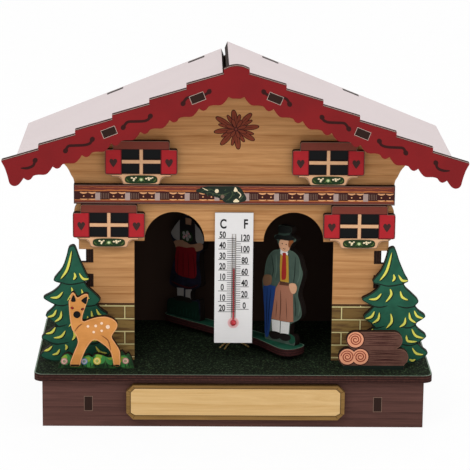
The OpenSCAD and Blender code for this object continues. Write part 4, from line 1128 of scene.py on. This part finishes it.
def man_picture(face):
    """Hat, coat, vest, umbrella and trousers of the man."""
    hat = smooth([
        (28.5, 84), (32.2, 85.7), (36.4, 85.2), (36.4, 82.3), (38.3, 80.3), (35.2, 79), (30.4, 78.6),
        (26.3, 78.3), (27.6, 80.2), (28.6, 80.9),
    ])
    band = [(28.4, 80.6), (32.2, 80.7), (36.5, 81.9), (36.5, 82.7), (32.2, 81.7), (28.4, 81.5)]
    hair = smooth([(35, 78.9), (37.1, 79.3), (37, 77.6), (35.6, 75.6), (34.6, 76.4)])
    eyes = [disc(31.1, 76.9, 0.32, count=8), disc(33.4, 76.9, 0.32, count=8)]
    mouth = stroke([(31.4, 74.9), (32.3, 74.6), (33.2, 74.9)], 0.25)
    collar = [(29.8, 74.4), (29.8, 71.7), (31.6, 72.6), (32, 73.6)]
    collar += [(33.4, 72.7), (35.3, 75.4), (34.9, 75.9), (32.2, 73.9)]
    shirt = [(30.4, 72), (32, 73.6), (34.2, 73), (33.6, 70.4), (30.9, 70)]
    tie = [(31.2, 72.5), (32.9, 72.8), (33.1, 71.2), (33.4, 62), (31.9, 60.3), (30.7, 61.3), (31.1, 70.8)]
    vest = [(29.9, 71.7), (31.1, 71.3), (33.4, 72.2), (34.4, 71.6), (34.9, 59.5), (30, 59.3), (29.6, 66)]
    # The left hand's darker skin is painted shade
    dim_hand = smooth([(20.3, 60.1), (24.5, 60.9), (24.6, 57.2), (22.4, 55.8), (20.4, 56)])
    lit_hand = smooth([(35.4, 58.9), (38.5, 59.7), (39.7, 57.8), (38.6, 55.2), (36.5, 55.4)])
    umbrella = smooth([
        (20.6, 55.5), (25.9, 56.3), (27.1, 54.6), (24.7, 40.1), (23.9, 34.4), (22.9, 31.7), (21.6, 33.1),
        (20.8, 40.9), (20.4, 50.1),
    ])
    folds = strokes([[(22.6, 55.2), (22.4, 45), (22.6, 33)], [(24.8, 55.2), (23.8, 45), (23.2, 35)]], 0.4)
    trousers = [
        (29.8, 59.3), (35.2, 59.2), (37.4, 55), (37.9, 41.9), (35.8, 41.3), (30.9, 40.9), (25.2, 40.9),
        (26.1, 46.6), (27.4, 55.4),
    ]
    belt = [(29.8, 59.3), (35.2, 59.2), (35.6, 58.1), (29.6, 57.5)]
    creases = [stroke([(30.3, 55.2), (30.5, 48.2), (30.1, 40.8)], 0.5)]
    creases += strokes([[(33.6, 52), (34.2, 42)], [(28.3, 50), (27.8, 42)]], 0.35)
    socks = [
        [(25.2, 40.5), (30.2, 40.8), (30, 34.7), (25.7, 34.8)],
        [(30.7, 40.7), (35.8, 41.1), (35.3, 35.2), (30.5, 34.8)],
    ]
    shoes = [
        smooth([(24.9, 35), (30.1, 35.1), (30.2, 32.7), (26.3, 31.6), (24.1, 32.9)]),
        smooth([(30.4, 34.9), (35.7, 35.4), (36.6, 33.5), (33.7, 32.1), (30.6, 32.6)]),
    ]
    mound = smooth([(35.1, 35.3), (37.8, 36), (39, 34.8), (38.9, 32.4), (36.2, 31.6)])
    seams = strokes([
        [(24.6, 70.5), (25.8, 64), (25, 60.3)],
        [(38.6, 72), (38.2, 64), (37.6, 60)],
        [(38.4, 54), (39.2, 48), (39, 44.5)],
    ], 0.4)
    lit = strokes([
        [(27.2, 71.5), (27.6, 65), (26.9, 60)],
        [(41, 70.5), (41.2, 64), (39.6, 60)],
        [(40.9, 53), (41.4, 48.5), (40.6, 45)],
    ], 0.7)
    film("man_picture", face, [
        ("coat_light", lit + rims("weather_man", face, 0.2, 0.18)),
        ("coat_line", seams),
        ("cloth_white", [collar, shirt] + socks),
        ("vest_gold", [vest]),
        ("tie_red", [smooth(tie)]),
        ("trouser_brown", [trousers]),
        ("trouser_dark", creases + [belt]),
        ("moss_green", [mound]),
        ("shoe_black", shoes),
        ("umbrella_blue", [umbrella]),
        ("shadow_pleat", folds),
        ("skin_shade", [dim_hand]),
        ("skin", [lit_hand, disc(32.3, 76.4, 3.2, 0.95)]),
        ("hair_brown", [hair]),
        ("eye_brown", [*eyes, mouth]),
        ("hat_felt", [hat]),
        ("hat_band", [band]),
    ], within="weather_man", body="carousel")


def woman_picture(face):
    """Bodice, apron, bouquet and skirt of the woman, drawn round a line 29 mm left of the pivot."""
    bodice = [(-2.3, 78.3), (7.1, 79.3), (7.6, 69.3), (9, 64.5), (-4.6, 63.6), (-2.2, 67.5)]
    neck = [(1.3, 78.8), (5.2, 78.9), (4.8, 75.9), (1.5, 75.8)]
    sleeves = [
        smooth([(-8, 71.9), (-4.6, 77), (-1.9, 78.2), (-1.8, 68.2), (-6.2, 68)]),
        smooth([(7.1, 78), (11, 74.6), (12.6, 70.8), (12.1, 68.3), (8, 68.7)]),
    ]
    arms = smooth([
        (-5.8, 66.4), (0.2, 67.9), (4.5, 66.6), (11.1, 68.4), (12, 65.9), (8.8, 64.1), (3.3, 63.7),
        (-5.3, 63.7),
    ])
    fifth = [(math.cos(k * 1.26), math.sin(k * 1.26)) for k in range(5)]
    roses = [disc(2.1 + 2.0 * c, 70.4 + 1.6 * s, 0.9) for c, s in fifth] + [disc(2.1, 70.4, 0.9)]
    buds = [disc(2.1, 70.4, 0.5), disc(3.6, 71.6, 0.45), disc(0.7, 69.6, 0.45)]
    apron = smooth([
        (-4.6, 63.7), (2, 64.6), (7.4, 65.2), (8, 58), (7.8, 51.6), (2.6, 50.4), (-4.2, 51.4), (-5, 57),
    ])
    folds = strokes([[(u, 62.5), (u * 1.15, 56), (u * 1.2, 50.6)] for u in (-3.0, 0.0, 3.0, 6.2)], 0.45)
    hem = [stroke([(-7.6, 46.9), (-3, 45.9), (4, 45.7), (9.4, 48.2)], 0.7)]
    stockings = [
        [(-4.2, 44.3), (0.3, 44.8), (0.3, 40.4), (-3.6, 40.2)],
        [(1.5, 44.4), (5.4, 45.2), (5.1, 40.4), (1.5, 40.2)],
    ]
    shoes = [
        smooth([(-5, 40.1), (0.3, 40.9), (0.6, 38.9), (-2, 38.2), (-5, 38.2)]),
        smooth([(1.2, 40.7), (5.1, 40.6), (5.4, 38.9), (3, 38.4), (1, 38.7)]),
    ]
    mound = smooth([
        (-10, 31), (-10, 35), (-9, 38), (-6, 38.9), (0, 39.4), (5, 39.4), (9.2, 39.6), (9.8, 35),
        (9.6, 31),
    ])
    tufts = strokes([[(u, 31.5), (u + 0.3, 34.0 + k % 3)] for k, u in enumerate(range(-8, 9, 2))], 0.5)
    head = disc(2.4, 83.6, 3.3, 1.05)
    eyes = [disc(1.2, 84.0, 0.34, count=8), disc(3.7, 84.0, 0.34, count=8)]
    mouth = stroke([(1.5, 82), (2.4, 81.6), (3.4, 82)], 0.28)
    hair = smooth([
        (-1.4, 84), (-0.9, 88.3), (2.4, 90.4), (5.7, 88.3), (6.2, 84), (5.2, 81.6), (5.4, 85.6),
        (2.4, 87.3), (-0.6, 85.6), (-0.5, 81.6),
    ])
    # Her skin, linen, mound and tufts take dim inks: painted shade for her place deep in the doorway
    layers = (
        ("moss_dim", [mound]),
        ("grass_dim", tufts),
        ("linen_in_painted_shade", stockings + sleeves),
        ("shoe_black", shoes),
        ("bodice_black", [bodice]),
        ("skin_dim", [neck, arms, head]),
        ("apron_red", [apron]),
        ("apron_line", folds + hem),
        ("leaf_green", [disc(2.2, 70.2, 3.7, 0.8)]),
        ("linen_in_painted_shade", roses),
        ("blossom_pink", buds),
        ("hair_brown", [hair]),
        ("eye_brown", [*eyes, mouth]),
    )
    layers = [(tone, moved(shapes, -29.0, 0)) for tone, shapes in layers]
    film("woman_picture", face, layers, within="weather_woman", body="carousel")


class HOUSE_OT_figures(bpy.types.Operator):
    """Turning platform, its man and woman, the gut and its peg"""

    bl_idname = "house.figures"
    bl_label = "Figures"

    def execute(self, context):
        # Green ink in two tones over plywood, with a reddish burnt edge
        green = painted("#1f5541", "#143829", patch=8.0, spread=1.0)
        edges = {"edge": "#2a1413", "edge_light": "#44201f"}
        dress("turntable", "platform_paint", "green printed platform", green, UP, **edges)
        above = sloping("turntable", UP)
        # A pale green line along the platform's top edges is a painted highlight
        rim = [("edge_highlight_green", rims("turntable", above, 0.1, 0.3))]
        film("platform_edge_highlight", above, rim, body="carousel")
        # Turned hardwood, oiled by hands
        beech = grained("#c99f6c", "#9c7142", "Z", "X", seed=31.0)
        dress("gut_peg", "peg_wood", "turned beech peg", beech)
        # Dried gut: amber, waxy, and a little light passes through it
        amber = painted("#b39966", "#846a3c", rough=0.35, patch=2.0, spread=1.0, along="Z")
        waxy = {"Subsurface Weight": 0.25, "Subsurface Scale": 0.4 * MM}
        dress("gut_string", "gut", "twisted gut", amber, sockets=waxy)
        # The figures' boards stand on the platform turned from the front, 8 mm behind the house's middle,
        # and their printed faces lie half a board before that line
        lean = math.radians(-42.2)
        toward = (math.sin(lean), -math.cos(lean), 0)
        face = Matrix.Translation((0, 8.0 * MM, 0)) @ Matrix.Rotation(lean, 4, "Z") @ upright(-1.6)
        # Printed cloth on board: the coat's and the skirt's colour is the ground
        coat = painted("#47584e", "#3b4b42", patch=4.0)
        skirt = painted("#20202f", "#15151d", patch=4.0, spread=1.0)
        edges = {"edge": "#110a07", "edge_light": "#1f1410"}
        dress("weather_man", "figure_print", "printed coat cloth", coat, toward, **edges)
        dress("weather_woman", "figure_print", "printed dark cloth", skirt, toward, **edges)
        man_picture(face)
        woman_picture(face)
        return {"FINISHED"}


def seen_rays(add):
    """1 for a ray that shows the background: from the camera, mirrored, or through glass."""
    path = add("LightPath").outputs
    indirect = add("Math", path["Is Glossy Ray"], path["Is Transmission Ray"], operation="MAXIMUM")
    return add("Math", path["Is Camera Ray"], indirect, operation="MAXIMUM")


def nearly_white(add, shader):
    """Almost all plain white for rays that show the background, so that only shadows stay seen."""
    white = add("Emission", {"Color": "#ffffff", "Strength": 1.0})
    share = add("Math", seen_rays(add), 0.94, operation="MULTIPLY")
    return add("MixShader", share, shader, white)


class HOUSE_OT_stage(bpy.types.Operator):
    """White floor, soft lights and the photo's camera"""

    bl_idname = "house.stage"
    bl_label = "Stage"

    def execute(self, context):
        stage = context.scene.house_stage
        far = 6.0
        mesh = bpy.data.meshes.new("floor")
        mesh.from_pydata([(u, v, 0) for u, v in rect(-far, -far, far, far)], [], [(0, 1, 2, 3)])
        # Matt white sweep: plain white for the camera, with the object's soft shadow
        sweep = painted("#f4f4f4", rough=0.9, tooth=0.002)
        mesh.materials.append(material("matt white paper", sweep, shown=nearly_white))
        floor = bpy.data.objects.new("floor", mesh)
        bpy.context.scene.collection.objects.link(floor)
        world = bpy.data.worlds.new("soft room")
        context.scene.world = world
        world.use_nodes = True
        world.node_tree.nodes.clear()
        add = partial(add_node, world.node_tree)
        dim = add("Background", {"Color": "#ffffff", "Strength": stage.sky})
        bright = add("Background", {"Color": "#ffffff", "Strength": 1.0})
        both = add("MixShader", seen_rays(add), dim, bright)
        add("OutputWorld", {"Surface": both})
        # Lamps with their widths and places in metres, all turned to the middle of the house
        for name, power, size, spot in (
            ("key_light", stage.key, 0.6, (-0.5, -0.95, 1.05)),
            ("fill_light", stage.fill, 0.7, (0.8, -0.95, 0.75)),
            ("top_light", stage.top, 0.6, (0.1, 0.2, 1.1)),
        ):
            data = bpy.data.lights.new(name, "AREA")
            data.energy = power
            data.size = size
            lamp = bpy.data.objects.new(name, data)
            lamp.location = spot
            lamp.rotation_mode = "QUATERNION"
            lamp.rotation_quaternion = (Vector((0, 0, 0.08)) - Vector(spot)).to_track_quat("-Z", "Y")
            bpy.context.scene.collection.objects.link(lamp)
        data = bpy.data.cameras.new("camera")
        data.sensor_width = 36
        data.lens = stage.lens / MM
        data.clip_start = 0.05
        data.clip_end = 20
        camera = bpy.data.objects.new("camera", data)
        # The photo's viewpoint: its place in metres, and its yaw, pitch and roll in radians
        place = Matrix.Translation((-0.01729, -0.985543, 0.325725))
        yaw, pitch, roll = 0.018383, 0.247087, 0.010212
        aim = Matrix.Rotation(-yaw, 4, "Z") @ Matrix.Rotation(math.pi / 2 - pitch, 4, "X")
        camera.matrix_world = place @ aim @ Matrix.Rotation(roll, 4, "Z")
        bpy.context.scene.collection.objects.link(camera)
        context.scene.camera = camera
        context.scene.view_settings.view_transform = "Standard"
        return {"FINISHED"}


OPERATORS = (
    HOUSE_OT_base, HOUSE_OT_walls, HOUSE_OT_roof, HOUSE_OT_balcony, HOUSE_OT_windows,
    HOUSE_OT_garden, HOUSE_OT_thermometer, HOUSE_OT_figures, HOUSE_OT_stage,
)


class HOUSE_PT_panel(bpy.types.Panel):
    """Buttons for every group of pieces"""

    bl_idname = "HOUSE_PT_panel"
    bl_label = "Weather house"
    bl_space_type = "VIEW_3D"
    bl_region_type = "UI"
    bl_category = "Weather house"

    def draw(self, context):
        for operator in OPERATORS:
            self.layout.operator(operator.bl_idname)
        for group in (context.scene.house_paints, context.scene.house_prints, context.scene.house_stage):
            box = self.layout.box()
            for name in group.__annotations__:
                box.prop(group, name)


CLASSES = (HousePaints, HousePrints, HouseStage, *OPERATORS, HOUSE_PT_panel)


def register():
    for each in CLASSES:
        bpy.utils.register_class(each)
    bpy.types.Scene.house_paints = PointerProperty(type=HousePaints)
    bpy.types.Scene.house_prints = PointerProperty(type=HousePrints)
    bpy.types.Scene.house_stage = PointerProperty(type=HouseStage)


def unregister():
    del bpy.types.Scene.house_paints
    del bpy.types.Scene.house_prints
    del bpy.types.Scene.house_stage
    for each in reversed(CLASSES):
        bpy.utils.unregister_class(each)


def main():
    """Registers the add-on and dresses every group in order."""
    register()
    for operator in OPERATORS:
        group, name = operator.bl_idname.split(".")
        getattr(getattr(bpy.ops, group), name)()


if __name__ == "__main__":
    main()
